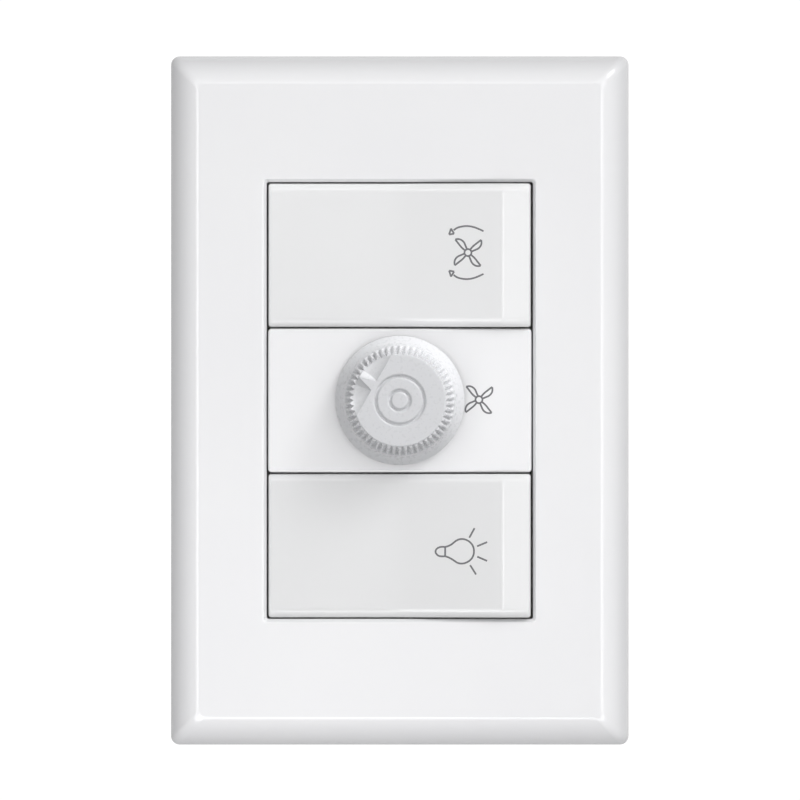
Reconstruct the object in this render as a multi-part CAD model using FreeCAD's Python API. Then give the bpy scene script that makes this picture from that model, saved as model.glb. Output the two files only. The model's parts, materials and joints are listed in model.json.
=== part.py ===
import FreeCAD, Part
import math
import os

# Frame of the part: X to the right, Y into the wall, Z up, the wall plane at y = 0.
# All lengths are in millimetres and all angles in degrees.

# Modules: three faces stacked in the window of the plate
module_pitch = 25.0
module_gap = 0.3
face_width = 45.3
face_clearance = 0.25
box_gap = 1.0
box_side_step = 2.15
box_wall = 1.2
box_back_wall = 1.5
box_corner = 0.8

# Cover plate, around the window and beyond the screws
plate_side_width = 16.55
plate_end_length = 17.7
plate_depth = 8.5
plate_wall = 2.2
plate_side = 3.5
plate_corner = 1.5
border_width = 4.8
border_bulge = 1.0
window_chamfer = 0.5
collar_wall = 1.4
collar_depth = 3.4
plate_rib_wall = 1.0
plate_rib_height = 2.0
plate_rib_end_gap = 14.45

# Snap lugs of the cover plate
lug_rise = 6.0
lug_wall = 1.4
lug_width = 7.0
lug_nose = 0.7
lug_clearance = 0.2
lug_end_gap = 0.3
lug_ledge = 1.0

# Support frame behind the plate
frame_side_gap = 4.45
frame_end_gap = 6.85
frame_thickness = 2.0
frame_corner = 3.0
frame_window_clearance = 0.3
frame_divider_gap = 0.2
frame_rib_wall = 1.2
frame_rib_height = 1.4
frame_rail_gap = 0.4
relief_radius = 3.4
relief_depth = 0.6
frame_slot_radius = 2.0
frame_slot_travel = 3.0

# Box screws
screw_edge = 4.35
screw_radius = 1.75
screw_neck_radius = 1.5
screw_length = 18.0
screw_thread_start = 0.3
screw_head_radius = 3.2
screw_head_height = 2.3
screw_head_bevel = 0.9
screw_slot_width = 0.8
screw_slot_depth = 1.0

# Bridge that carries a rocker key
bridge_side_gap = 0.35
bridge_end_gap = 0.15
bridge_thickness = 1.5
bridge_hole_radius = 3.1
ear_wall = 1.4
ear_rim = 0.75
ear_side_gap = 0.45
tongue_wall = 1.1
tongue_width = 4.0
tongue_edge_gap = 2.8
tongue_length = 4.0
tongue_gap = 0.2
tongue_nose = 0.9
nose_depth = 1.2
tongue_window_gap = 0.2
catch_length = 2.4
catch_reach = 1.0
catch_width = 5.0
catch_gap = 0.1

# Rocker key, drawn with its left end pressed in
key_tilt_angle = 7.0
key_sink = 0.1
key_blank_margin = 2.0
key_bend_radius = 30.0
key_end_width = 5.0
key_end_drop = 0.7
key_crease_radius = 1.6
key_edge_radius = 1.2
key_corner_radius = 0.6
key_wall = 1.5
key_rim_gap = 0.4
key_rib_wall = 0.9
key_rib_length = 26.0
key_cross_rib_x = 10.0
pivot_rise = 1.1
pin_radius = 1.1
pin_clearance = 0.05
pin_length = 2.05

# Plunger and spring in the key's tube, measured from the pivot
tube_radius = 2.4
tube_bore_radius = 1.65
tube_reach = 8.6
tube_bore_start = 0.8
plunger_body_radius = 1.55
plunger_body_start = 5.4
plunger_body_end = 9.0
plunger_neck_radius = 1.1
plunger_tip_radius = 0.5
plunger_nose_length = 0.7
plunger_reach = 10.5
spring_wire_radius = 0.2
spring_radius = 1.2
spring_turns = 3
spring_end_gap = 0.1
spring_sides = 4

# Seesaw contact and the fixed contacts
seesaw_swing_angle = 18.0
seesaw_gap = 0.2
seesaw_length = 13.0
seesaw_width = 4.0
seesaw_thickness = 0.8
knife_radius = 0.5
knife_gap = 0.1
cheek_wall = 0.6
cheek_gap = 0.2
cheek_width = 2.4
cheek_rise = 1.6
contact_x = 5.2
contact_radius = 1.2
contact_tip_radius = 0.7
contact_height = 0.6
contact_gap = 0.15
strip_thickness = 0.8
strip_gap = 2.0
strip_inner_gap = 1.3

# Terminals, one at each corner that is used
block_wall_gap = 1.3
block_length = 8.0
block_height = 7.0
block_depth = 6.4
block_end_wall = 1.0
wire_bore_radius = 1.5
wire_bore_y = 2.6
wire_hole_radius = 1.9
terminal_screw_radius = 1.45
terminal_thread_clearance = 0.05
terminal_head_radius = 2.5
terminal_head_height = 1.6
terminal_head_hole_radius = 2.8
terminal_head_gap = 0.2
terminal_slot_width = 0.7
terminal_slot_depth = 0.8
terminal_tip_gap = 0.2

# Speed control module
control_depth = 28.0
faceplate_wall = 1.5
faceplate_bevel = 0.25
faceplate_corner_radius = 0.6
board_gap = 0.2
board_thickness = 1.6
board_front_y = 2.8
board_post = 1.2
vent_width = 1.6
vent_height = 9.0
vent_pitch = 3.2
vent_count = 5

# Potentiometer, its shaft and its nut
pot_radius = 8.0
pot_depth = 6.0
pot_wall = 0.8
bushing_radius = 3.5
bushing_hole_gap = 0.2
bushing_end = 10.8
nut_across_flats = 10.0
nut_thickness = 2.0
nut_clearance = 0.05
shaft_radius = 3.0
shaft_clearance = 0.05
shaft_flat = 1.5
rotor_gap = 0.6
rotor_thickness = 1.2
track_thickness = 0.8
track_gap = 0.3
pot_pin_pitch = 5.0
pot_pin_length = 2.2
pot_pin_width = 0.7

# Speed knob, its heights counted from its back
knob_gap = 0.5
knob_height = 11.0
knob_skirt_radius = 11.1
knob_skirt_height = 1.5
knob_flare_height = 4.6
knob_flare_hollow = 0.4
knob_flare_steps = 3
knob_band_bottom_radius = 9.5
knob_band_top_radius = 8.3
knob_band_top_height = 10.7
knob_rib_count = 54
knob_rib_height = 0.35
knob_rib_share = 0.3
knob_wall = 1.5
knob_hub_radius = 4.6
knob_hub_start = 2.1
knob_web_wall = 0.9
knob_web_count = 4
groove_radii = (4.15, 1.6)
groove_width = 0.6
groove_depth = 0.35
pointer_angle = 150.0
facet_start = 5.08
facet_slope = 22.0
pointer_width = 1.9
pointer_tip_width = 0.1
pointer_end = 8.1

# Parts on the circuit board, behind it
choke_side_gap = 1.0
choke_end_gap = 0.8
choke_core_half = 1.8
choke_winding_half = 2.5
choke_winding_gap = 0.05
choke_wound_angle = 300.0
choke_foot_radius = 0.5
capacitor_side_gap = 2.8
capacitor_middle_gap = 5.0
capacitor_end_gap = 0.4
capacitor_depth = 9.0
capacitor_height = 4.6
capacitor_corner = 0.5
sink_side_gap = 1.8
sink_middle_gap = 2.5
sink_end_gap = 1.0
sink_depth = 14.0
sink_wall = 1.5
sink_lip = 3.5
triac_side_gap = 1.0
triac_depth = 9.0
triac_height = 4.4
triac_hole_share = 0.75
triac_rise = 3.2
triac_lead_width = 0.8
triac_lead_pitch = 2.54
rivet_radius = 1.5
rivet_clearance = 0.05
rivet_head_radius = 2.6
rivet_head_height = 0.9
resistor_radius = 1.2
resistor_body_share = 0.45
resistor_choke_gap = 1.5
resistor_fuse_gap = 0.6
resistor_rise = 0.6
resistor_pitch = 4.0
resistor_lead_width = 0.6
resistor_board_gap = 0.5
fuse_side_gap = 2.9
fuse_triac_gap = 2.1
fuse_length = 9.0
fuse_radius = 1.9
fuse_cap_length = 2.0
fuse_cap_wall = 0.3
strap_wall = 0.8
strap_width = 3.0

# Sizes and levels that follow from the ones above
wall_y = 0.0
plate_front_y = wall_y - plate_depth
plate_inner_y = plate_front_y + plate_wall
frame_front_y = wall_y - frame_thickness
bridge_front_y = frame_front_y - bridge_thickness
pivot_y = bridge_front_y - pivot_rise
face_y = plate_front_y + key_sink
face_height = module_pitch - module_gap
box_width = face_width - 2 * box_side_step
box_height = module_pitch - box_gap
window_width = face_width + 2 * face_clearance
window_height = 2 * module_pitch + face_height + 2 * face_clearance
frame_window_width = box_width + 2 * frame_window_clearance
frame_window_height = 2 * module_pitch + box_height + 2 * frame_window_clearance
divider_wall = box_gap - 2 * frame_divider_gap
screw_spacing = frame_window_height + 2 * screw_edge
plate_width = window_width + 2 * plate_side_width
plate_height = screw_spacing + 2 * plate_end_length
plate_rib_z = (window_height / 2 + collar_wall + plate_height / 2) / 2
plate_rib_length = plate_width - 2 * plate_rib_end_gap
frame_width = plate_width - 2 * frame_side_gap
frame_height = plate_height - 2 * frame_end_gap
lug_x = (window_width / 2 + collar_wall + frame_width / 2) / 2
lug_z = module_pitch + lug_rise
bridge_width = face_width - 2 * bridge_side_gap
bridge_height = face_height - 2 * bridge_end_gap
inner_width = box_width - 2 * box_wall
inner_height = box_height - 2 * box_wall
tongue_z = inner_height / 2 - tongue_edge_gap - tongue_width / 2
block_x = inner_width / 2 - block_wall_gap - block_length / 2
block_z = inner_height / 2 - block_wall_gap - block_height / 2
strip_width = block_z - strip_gap
half_tilt = key_tilt_angle / 2
half_swing = seesaw_swing_angle / 2
seesaw_axis_y = pivot_y + plunger_reach + seesaw_gap + seesaw_thickness + knife_gap + knife_radius
moving_tip_y = contact_height - knife_gap - knife_radius
closed_tip_y = (
    seesaw_axis_y
    + (contact_x + contact_tip_radius) * math.sin(math.radians(half_swing))
    + moving_tip_y * math.cos(math.radians(half_swing))
)
strip_front_y = closed_tip_y + contact_gap + contact_height
strip_back_y = strip_front_y + strip_thickness
switch_back_y = strip_back_y + block_depth + box_back_wall
control_back_y = frame_front_y + control_depth
board_back_y = board_front_y + board_thickness
capacitor_width = inner_width / 2 - capacitor_side_gap - capacitor_middle_gap
capacitor_x = capacitor_width / 2 + capacitor_side_gap - inner_width / 2
capacitor_z = capacitor_height / 2 + capacitor_end_gap - inner_height / 2
choke_outer = (inner_height - capacitor_height - capacitor_end_gap) / 2 - choke_end_gap
choke_radius = choke_outer - choke_winding_half
choke_x = choke_outer + choke_side_gap - inner_width / 2
choke_z = inner_height / 2 - choke_end_gap - choke_outer
sink_width = inner_width / 2 - sink_side_gap - sink_middle_gap
sink_x = inner_width / 2 - sink_side_gap - sink_width / 2
sink_z = sink_end_gap - inner_height / 2
triac_width = sink_width - 2 * (sink_wall + triac_side_gap)
triac_top_z = sink_z + sink_wall + triac_height
fuse_outer = fuse_radius + fuse_cap_wall
fuse_x = inner_width / 2 - fuse_side_gap - fuse_outer
fuse_z = triac_top_z + fuse_triac_gap + fuse_outer
resistor_start_x = choke_x + choke_outer + resistor_choke_gap
resistor_end_x = fuse_x - fuse_outer - resistor_fuse_gap
resistor_length = (resistor_end_x - resistor_start_x) * resistor_body_share
resistor_z = (fuse_z + resistor_rise, fuse_z + resistor_rise + resistor_pitch)
pot_front_y = board_front_y - pot_depth
rotor_radius = pot_radius - pot_wall - rotor_gap
knob_back_y = plate_front_y - knob_gap
knob_front_y = knob_back_y - knob_height
up = FreeCAD.Vector(0, 0, 1)
inward = FreeCAD.Vector(0, 1, 0)
rightward = FreeCAD.Vector(1, 0, 0)


def point(x, y, z=0.0):
    """Position in the part's frame."""
    return FreeCAD.Vector(x, y, z)


def box(x_span, y_span, z_span):
    """Box between two values on each axis."""
    size = [abs(span[1] - span[0]) for span in (x_span, y_span, z_span)]
    return Part.makeBox(*size, point(min(x_span), min(y_span), min(z_span)))


def slab(width, height, y_span, corner=0.0):
    """Upright slab centred on the Y axis, its four corners rounded."""
    solid = box((-width / 2, width / 2), y_span, (-height / 2, height / 2))
    if corner:
        solid = solid.makeFillet(corner, edges_along(solid, inward))
    return solid


def edges_along(solid, direction):
    """Straight edges that run in one direction."""
    found = []
    for edge in solid.Edges:
        if edge.Curve.TypeId == "Part::GeomLine":
            if abs(abs(edge.Curve.Direction.dot(direction)) - 1) < 1e-6:
                found.append(edge)
    return found


def rod(radius, y_span, x=0.0, z=0.0):
    """Round bar along Y."""
    start = min(y_span)
    return Part.makeCylinder(radius, abs(y_span[1] - y_span[0]), point(x, start, z), inward)


def polygon(points):
    """Closed outline with straight sides, in the plane z = 0."""
    corners = [point(*p) for p in points]
    return Part.makePolygon(corners + corners[:1])


def prism(wire, length):
    """Outline in the plane z = 0 drawn out along Z, half of it to each side."""
    solid = Part.Face(wire).extrude(point(0, 0, length))
    solid.translate(point(0, 0, -length / 2))
    return solid


def frustum(size_a, y_a, size_b, y_b):
    """Solid between two upright rectangles of width and height at two depths."""
    outlines = []
    for (width, height), y in ((size_a, y_a), (size_b, y_b)):
        signs = ((-1, -1), (1, -1), (1, 1), (-1, 1))
        corners = [point(sx * width / 2, y, sz * height / 2) for sx, sz in signs]
        outlines.append(Part.makePolygon(corners + corners[:1]))
    return Part.makeLoft(outlines, True, True)


def rounded_outline(points, radii):
    """Closed outline in the plane z = 0 whose corners are rounded by tangent arcs."""
    edges = []
    corners = [point(*p) for p in points]
    ends = []
    for i, corner in enumerate(corners):
        before = (corners[i - 1] - corner).normalize()
        after = (corners[(i + 1) % len(corners)] - corner).normalize()
        if not radii[i]:
            ends.append((corner, None, corner))
            continue
        half = before.getAngle(after) / 2
        reach = radii[i] / math.tan(half)
        middle = (before + after).normalize()
        centre = corner + middle * (radii[i] / math.sin(half))
        ends.append((corner + before * reach, centre - middle * radii[i], corner + after * reach))
    for i, (start, middle, end) in enumerate(ends):
        if middle:
            edges.append(Part.Arc(start, middle, end).toShape())
        edges.append(Part.LineSegment(end, ends[(i + 1) % len(ends)][0]).toShape())
    return Part.Wire(edges)


def both_sides(solid):
    """The solid and its mirror image across the plane x = 0."""
    return [solid, solid.mirror(point(0, 0, 0), rightward)]


def four_corners(solid):
    """The solid mirrored across x = 0 and z = 0."""
    pair = both_sides(solid)
    return pair + [one.mirror(point(0, 0, 0), up) for one in pair]


def turned(solid, degrees, y):
    """The solid turned about the upright axis at x = 0 and the given depth."""
    turned_solid = solid.copy()
    turned_solid.rotate(point(0, y, 0), up, degrees)
    return turned_solid


def joined(solids):
    """One solid from several that meet or overlap."""
    return solids[0].multiFuse(list(solids[1:])).removeSplitter()


def save(name, solids, centre_z=0.0):
    """Write one named piece, or one group of like pieces, at its height."""
    shape = solids[0].copy() if len(solids) == 1 else Part.makeCompound(solids)
    shape.translate(point(0, 0, centre_z))
    shape.exportStep("parts/" + name + ".step")


# Cover plate
def plate_section(half, depth, side):
    """Cross-section with straight sides, bulged borders and a flat front."""
    chord = point(border_width, -(depth - side))
    bulge = point(chord.y, -chord.x).normalize() * border_bulge
    foot = point(-half, -side)
    crest = foot + chord
    middle = foot + chord / 2 + bulge
    mirrored = [point(-p.x, p.y) for p in (crest, middle, foot)]
    return Part.Wire([
        Part.LineSegment(point(-half, wall_y), foot).toShape(),
        Part.Arc(foot, middle, crest).toShape(),
        Part.LineSegment(crest, mirrored[0]).toShape(),
        Part.Arc(*mirrored).toShape(),
        Part.LineSegment(mirrored[2], point(half, wall_y)).toShape(),
        Part.LineSegment(point(half, wall_y), point(-half, wall_y)).toShape(),
    ])


def plate_form(width, height, depth, side, corner):
    """Plate whose four bulged borders meet in mitres."""
    across = prism(plate_section(width / 2, depth, side), height)
    along = prism(plate_section(height / 2, depth, side), width)
    along.rotate(point(0, 0, 0), inward, 90)
    return across.common(along).common(slab(width, height, (-depth, wall_y), corner))


def hollow_side():
    """Height of the hollow's straight side, a wall thickness inside the border."""
    slope = (plate_depth - plate_side) / border_width
    length = math.hypot(1, slope)
    across = plate_wall * (1 - slope / length)
    return plate_side + slope * across - plate_wall / length


def plate_lug():
    """Snap lug at the upper right of the plate, its nose outwards."""
    nose_y = frame_front_y + lug_ledge + lug_clearance / 2
    tip_y = wall_y - lug_end_gap
    inner_x = lug_x - lug_wall / 2
    outer_x = lug_x + lug_wall / 2
    outline = polygon([
        (inner_x, plate_inner_y), (outer_x, plate_inner_y), (outer_x, nose_y),
        (outer_x + lug_nose, nose_y), (outer_x, tip_y), (inner_x, tip_y),
    ])
    lug = prism(outline, lug_width)
    lug.translate(point(0, 0, lug_z))
    return lug


def make_cover_plate():
    """Plate with its window, the collar behind it, stiffening ribs and snap lugs."""
    outer = plate_form(plate_width, plate_height, plate_depth, plate_side, plate_corner)
    hollow = plate_form(
        plate_width - 2 * plate_wall, plate_height - 2 * plate_wall,
        plate_depth - plate_wall, hollow_side(), plate_corner,
    )
    collar = slab(
        window_width + 2 * collar_wall, window_height + 2 * collar_wall,
        (plate_front_y + plate_wall / 2, plate_front_y + collar_depth),
    )
    ribs = []
    for sign in (-1, 1):
        low = sign * plate_rib_z - plate_rib_wall / 2
        ribs.append(box(
            (-plate_rib_length / 2, plate_rib_length / 2),
            (plate_inner_y, plate_inner_y + plate_rib_height),
            (low, low + plate_rib_wall),
        ))
    window = slab(window_width, window_height, (plate_front_y, wall_y))
    chamfer = frustum(
        (window_width + 2 * window_chamfer, window_height + 2 * window_chamfer), plate_front_y,
        (window_width, window_height), plate_front_y + window_chamfer,
    )
    shell = outer.cut(hollow)
    whole = joined([shell, collar] + ribs + four_corners(plate_lug()))
    return whole.cut(window).cut(chamfer)


# Support frame and box screws
def make_support_frame():
    """Moulded frame with rails beside the modules, dividers, slots for screws and lugs."""
    span = (frame_front_y, wall_y)
    plate = slab(frame_width, frame_height, span, frame_corner)
    rib_span = (frame_front_y - frame_rib_height, frame_front_y)
    rib = slab(frame_width, frame_height, rib_span, frame_corner)
    rib = rib.cut(slab(
        frame_width - 2 * frame_rib_wall, frame_height - 2 * frame_rib_wall,
        rib_span, frame_corner - frame_rib_wall,
    ))
    rail_x = bridge_width / 2 + frame_rail_gap
    rail_half = frame_window_height / 2
    rails = both_sides(box((rail_x, rail_x + frame_rib_wall), rib_span, (-rail_half, rail_half)))
    whole = joined([plate, rib] + rails)
    cuts = [slab(frame_window_width, frame_window_height, span)]
    slot_width = lug_wall + 2 * lug_clearance
    slot_x = lug_x - slot_width / 2
    slot_z = (lug_z - lug_width / 2 - lug_clearance, lug_z + lug_width / 2 + lug_clearance)
    ledge_y = frame_front_y + lug_ledge
    cuts += four_corners(box((slot_x, slot_x + slot_width), span, slot_z))
    cuts += four_corners(box((slot_x, slot_x + slot_width + lug_nose), (ledge_y, wall_y), slot_z))
    for sign in (-1, 1):
        z = sign * screw_spacing / 2
        for x in (-frame_slot_travel / 2, frame_slot_travel / 2):
            cuts.append(rod(frame_slot_radius, span, x, z))
        cuts.append(box(
            (-frame_slot_travel / 2, frame_slot_travel / 2), span,
            (z - frame_slot_radius, z + frame_slot_radius),
        ))
        cuts.append(rod(relief_radius, (wall_y - relief_depth, wall_y), 0, z))
    dividers = []
    for sign in (-1, 1):
        low_z = sign * module_pitch / 2 - divider_wall / 2
        dividers.append(box(
            (-frame_window_width / 2, frame_window_width / 2), span, (low_z, low_z + divider_wall)
        ))
    return joined([whole.cut(cuts)] + dividers)


def make_box_screw(z):
    """Domed screw whose thread stands out behind the frame."""
    crown_y = frame_front_y - screw_head_height
    head = rod(screw_head_radius, (crown_y, frame_front_y), 0, z)
    rim = [e for e in head.Edges if abs(e.CenterOfMass.y - crown_y) < 1e-6]
    head = head.makeChamfer(screw_head_bevel, rim)
    thread_y = wall_y - screw_thread_start
    neck = rod(screw_neck_radius, (frame_front_y, thread_y), 0, z)
    thread = rod(screw_radius, (thread_y, screw_length), 0, z)
    slot = box(
        (-screw_head_radius, screw_head_radius), (crown_y, crown_y + screw_slot_depth),
        (z - screw_slot_width / 2, z + screw_slot_width / 2),
    )
    return joined([head, neck, thread]).cut(slot)


# Boxes of the modules
def make_module_box(back_y, spots):
    """Box open at the front, with catches, clip windows and holes for its terminals."""
    span = (frame_front_y, back_y)
    body = slab(box_width, box_height, span, box_corner)
    body = body.cut(slab(inner_width, inner_height, (frame_front_y, back_y - box_back_wall)))
    catch_y = wall_y + catch_gap
    half = box_width / 2
    catch = prism(polygon([
        (half - box_wall, catch_y), (half, catch_y), (half + catch_reach, catch_y),
        (half, catch_y + catch_length), (half - box_wall, catch_y + catch_length),
    ]), catch_width)
    body = joined([body] + both_sides(catch))
    nose_y = frame_front_y + tongue_length - nose_depth
    window_half = tongue_width / 2 + tongue_window_gap
    cuts = four_corners(box(
        (inner_width / 2, half),
        (nose_y - tongue_window_gap, frame_front_y + tongue_length + tongue_window_gap),
        (tongue_z - window_half, tongue_z + window_half),
    ))
    bore_y = back_y - box_back_wall - block_depth + wire_bore_y
    for x, z in spots:
        side = math.copysign(1, x)
        start = point(side * inner_width / 2, bore_y, z)
        cuts.append(Part.makeCylinder(wire_hole_radius, box_wall, start, rightward * side))
        cuts.append(rod(terminal_head_hole_radius, (back_y - box_back_wall, back_y), x, z))
    return body.cut(cuts)


def clip_tongues():
    """Four tongues that reach into a box and snap in its windows."""
    outer_x = inner_width / 2 - tongue_gap
    inner_x = outer_x - tongue_wall
    tip_y = frame_front_y + tongue_length
    nose_y = tip_y - nose_depth
    outline = polygon([
        (inner_x, frame_front_y), (outer_x, frame_front_y), (outer_x, nose_y),
        (outer_x + tongue_nose, nose_y), (outer_x, tip_y), (inner_x, tip_y),
    ])
    tongue = prism(outline, tongue_width)
    tongue.translate(point(0, 0, tongue_z))
    return four_corners(tongue)


# Rocker mechanism
def make_bridge():
    """Deck over a switch box with the two ears that carry the key."""
    deck = slab(bridge_width, bridge_height, (bridge_front_y, frame_front_y), box_corner)
    ear_radius = pin_radius + pin_clearance + ear_rim
    outer_z = face_height / 2 - key_wall - ear_side_gap
    pieces = [deck] + clip_tongues()
    holes = [rod(bridge_hole_radius, (bridge_front_y, frame_front_y))]
    for sign in (-1, 1):
        foot_z = sign * outer_z if sign < 0 else outer_z - ear_wall
        pieces.append(Part.makeCylinder(ear_radius, ear_wall, point(0, pivot_y, foot_z), up))
        pieces.append(box(
            (-ear_radius, ear_radius), (pivot_y, bridge_front_y), (foot_z, foot_z + ear_wall)
        ))
        hole_radius = pin_radius + pin_clearance
        holes.append(Part.makeCylinder(hole_radius, ear_wall, point(0, pivot_y, foot_z), up))
    return joined(pieces).cut(holes)


def key_rise(x):
    """How far a raised half stands out at a distance from the pivot."""
    return x * math.tan(math.radians(key_tilt_angle))


def key_block(inset):
    """Solid key, or the hollow inside it, an inset away from its outer faces."""
    reach = face_width / 2 + key_blank_margin
    level = face_y + inset
    crease_x = face_width / 2 - key_end_width
    rim_y = bridge_front_y - key_rim_gap + (2 * inset if inset else 0)
    drop = key_end_drop * (reach - crease_x) / key_end_width
    points = [
        (-reach, rim_y),
        (-reach, level),
        (0, level),
        (crease_x, level - key_rise(crease_x)),
        (reach, level - key_rise(crease_x) + drop),
        (reach, rim_y - key_rise(reach)),
        (0, rim_y),
    ]
    radii = [0, 0, key_bend_radius, key_crease_radius, 0, 0, 0]
    height = face_height - 2 * inset
    ends = Part.makeCylinder(
        face_width / 2 - inset, height, point(0, pivot_y, -height / 2), up
    )
    return prism(rounded_outline(points, radii), height).common(ends)


def round_key_edges(key):
    """Soften the long edges of the key's front, then the outline of each end."""
    front = []
    for edge in key.Edges:
        middle = edge.CenterOfMass
        long_side = abs(abs(middle.z) - face_height / 2) < 1e-6
        if long_side and middle.y < face_y + 1e-3 and abs(middle.x) < face_width / 2 - key_edge_radius:
            front.append(edge)
    key = key.makeFillet(key_edge_radius, front)
    ends = []
    for edge in key.Edges:
        middle = edge.CenterOfMass
        on_side = abs(abs(middle.z) - face_height / 2) < 1e-6
        if on_side and abs(middle.x) > face_width / 2 - key_edge_radius:
            ends.append(edge)
    return key.makeFillet(key_corner_radius, ends)


def make_key():
    """Rocker key: a ribbed shell with pivot pins and the tube for the plunger."""
    solid = key_block(0)
    shell = round_key_edges(solid).cut(key_block(key_wall))
    half_height = face_height / 2 - key_wall
    ribs = [box(
        (-key_rib_length / 2, key_rib_length / 2), (face_y - key_rise(face_width), wall_y),
        (-key_rib_wall / 2, key_rib_wall / 2),
    )]
    for x in (-key_cross_rib_x, key_cross_rib_x):
        ribs.append(box(
            (x - key_rib_wall / 2, x + key_rib_wall / 2), (face_y - key_rise(face_width), wall_y),
            (-half_height, half_height),
        ))
    core = key_block(key_wall / 2)
    core = core.common(solid)
    ribs = [rib.common(core) for rib in ribs]
    pins = []
    for sign in (-1, 1):
        foot = point(0, pivot_y, sign * (half_height + key_wall / 2))
        pins.append(Part.makeCylinder(pin_radius, pin_length + key_wall / 2, foot, up * -sign))
    top_y = face_y + key_wall / 2
    tube = turned(rod(tube_radius, (top_y, pivot_y + tube_reach)), -half_tilt, pivot_y)
    bore = rod(tube_bore_radius, (pivot_y + tube_bore_start, pivot_y + tube_reach))
    bore = turned(bore, -half_tilt, pivot_y)
    return joined([shell] + ribs + pins + [tube]).cut(bore)


def make_plunger():
    """Plunger with a tapered nose that slides in the key's tube."""
    nose_y = pivot_y + plunger_reach - plunger_nose_length
    body = rod(plunger_body_radius, (pivot_y + plunger_body_start, pivot_y + plunger_body_end))
    neck = rod(plunger_neck_radius, (pivot_y + plunger_body_start, nose_y))
    nose = Part.makeCone(
        plunger_neck_radius, plunger_tip_radius, plunger_nose_length, point(0, nose_y, 0), inward
    )
    return turned(joined([body, neck, nose]), -half_tilt, pivot_y)


def make_spring():
    """Coil spring between the tube's end and the plunger."""
    start = tube_bore_start + spring_end_gap + spring_wire_radius
    end = plunger_body_start - spring_end_gap - spring_wire_radius
    length = end - start
    path = Part.makeHelix(length / spring_turns, length, spring_radius)
    corners = []
    for i in range(spring_sides + 1):
        angle = 2 * math.pi * i / spring_sides
        across = spring_radius + spring_wire_radius * math.cos(angle)
        corners.append(point(across, 0, spring_wire_radius * math.sin(angle)))
    coil = Part.Wire(path).makePipeShell([Part.makePolygon(corners)], True, True)
    coil.rotate(point(0, 0, 0), rightward, -90)
    coil.translate(point(0, pivot_y + start, 0))
    return turned(coil, -half_tilt, pivot_y)


def make_seesaw(sides):
    """Rocking contact plate with a rivet above each fixed contact."""
    top_y = seesaw_axis_y - knife_radius - knife_gap - seesaw_thickness
    under_y = top_y + seesaw_thickness
    plate = box(
        (-seesaw_length / 2, seesaw_length / 2), (top_y, under_y),
        (-seesaw_width / 2, seesaw_width / 2),
    )
    plate = plate.makeFillet(seesaw_thickness, edges_along(plate, inward))
    rivets = [
        Part.makeCone(
            contact_radius, contact_tip_radius, contact_height,
            point(side * contact_x, under_y, 0), inward,
        )
        for side in sides
    ]
    return turned(joined([plate] + rivets), half_swing, seesaw_axis_y)


def make_fork():
    """Common strip with the knife edge and the cheeks that guide the seesaw."""
    half = seesaw_width / 2
    knife = Part.makeCylinder(
        knife_radius, seesaw_width, point(0, seesaw_axis_y, -half), up
    )
    post = box((-knife_radius, knife_radius), (seesaw_axis_y, strip_front_y), (-half, half))
    cheek_z = half + cheek_gap
    cheek_y = seesaw_axis_y - cheek_rise
    cheeks = [
        box((-cheek_width / 2, cheek_width / 2), (cheek_y, strip_front_y), span)
        for span in ((cheek_z, cheek_z + cheek_wall), (-cheek_z - cheek_wall, -cheek_z))
    ]
    low_z = -block_z - strip_width / 2
    span = (strip_front_y, strip_back_y)
    stem = box((-strip_width / 2, strip_width / 2), span, (low_z, cheek_z + cheek_wall))
    arm = box((-block_x - strip_width / 2, strip_width / 2), span, (low_z, low_z + strip_width))
    return joined([knife, post, stem, arm] + cheeks)


def make_fixed_contact(side):
    """Strip from a fixed contact to the terminal on its side."""
    span = (strip_front_y, strip_back_y)
    inner_x = contact_x - strip_inner_gap
    outer_x = block_x + strip_width / 2
    arm = box(
        (side * inner_x, side * outer_x), span, (-strip_width / 2, strip_width / 2)
    )
    pad = box(
        (side * (block_x - strip_width / 2), side * outer_x), span,
        (-strip_width / 2, block_z + strip_width / 2),
    )
    rivet = Part.makeCone(
        contact_radius, contact_tip_radius, contact_height,
        point(side * contact_x, strip_front_y, 0), inward * -1,
    )
    return joined([arm, pad, rivet])


# Terminals
def make_terminal_block(x, z, back_y):
    """Brass block with a wire bore from its outer end and a screw hole behind."""
    side = math.copysign(1, x)
    seat_y = back_y - box_back_wall
    front_y = seat_y - block_depth
    half = block_length / 2
    block = box(
        (x - half, x + half), (front_y, seat_y), (z - block_height / 2, z + block_height / 2)
    )
    bore_length = block_length - block_end_wall
    start = point(x + side * half, front_y + wire_bore_y, z)
    bore = Part.makeCylinder(wire_bore_radius, bore_length, start, rightward * -side)
    hole_radius = terminal_screw_radius + terminal_thread_clearance
    hole = rod(hole_radius, (front_y + wire_bore_y, seat_y), x, z)
    return block.cut([bore, hole])


def make_terminal_screw(x, z, back_y):
    """Slotted screw that presses on the wire in its block."""
    seat_y = back_y - box_back_wall
    bore_edge_y = seat_y - block_depth + wire_bore_y + wire_bore_radius
    head_y = seat_y + terminal_head_gap
    crown_y = head_y + terminal_head_height
    shank = rod(terminal_screw_radius, (bore_edge_y + terminal_tip_gap, head_y), x, z)
    head = rod(terminal_head_radius, (head_y, crown_y), x, z)
    slot = box(
        (x - terminal_head_radius, x + terminal_head_radius),
        (crown_y - terminal_slot_depth, crown_y),
        (z - terminal_slot_width / 2, z + terminal_slot_width / 2),
    )
    return joined([shank, head]).cut(slot)


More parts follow.
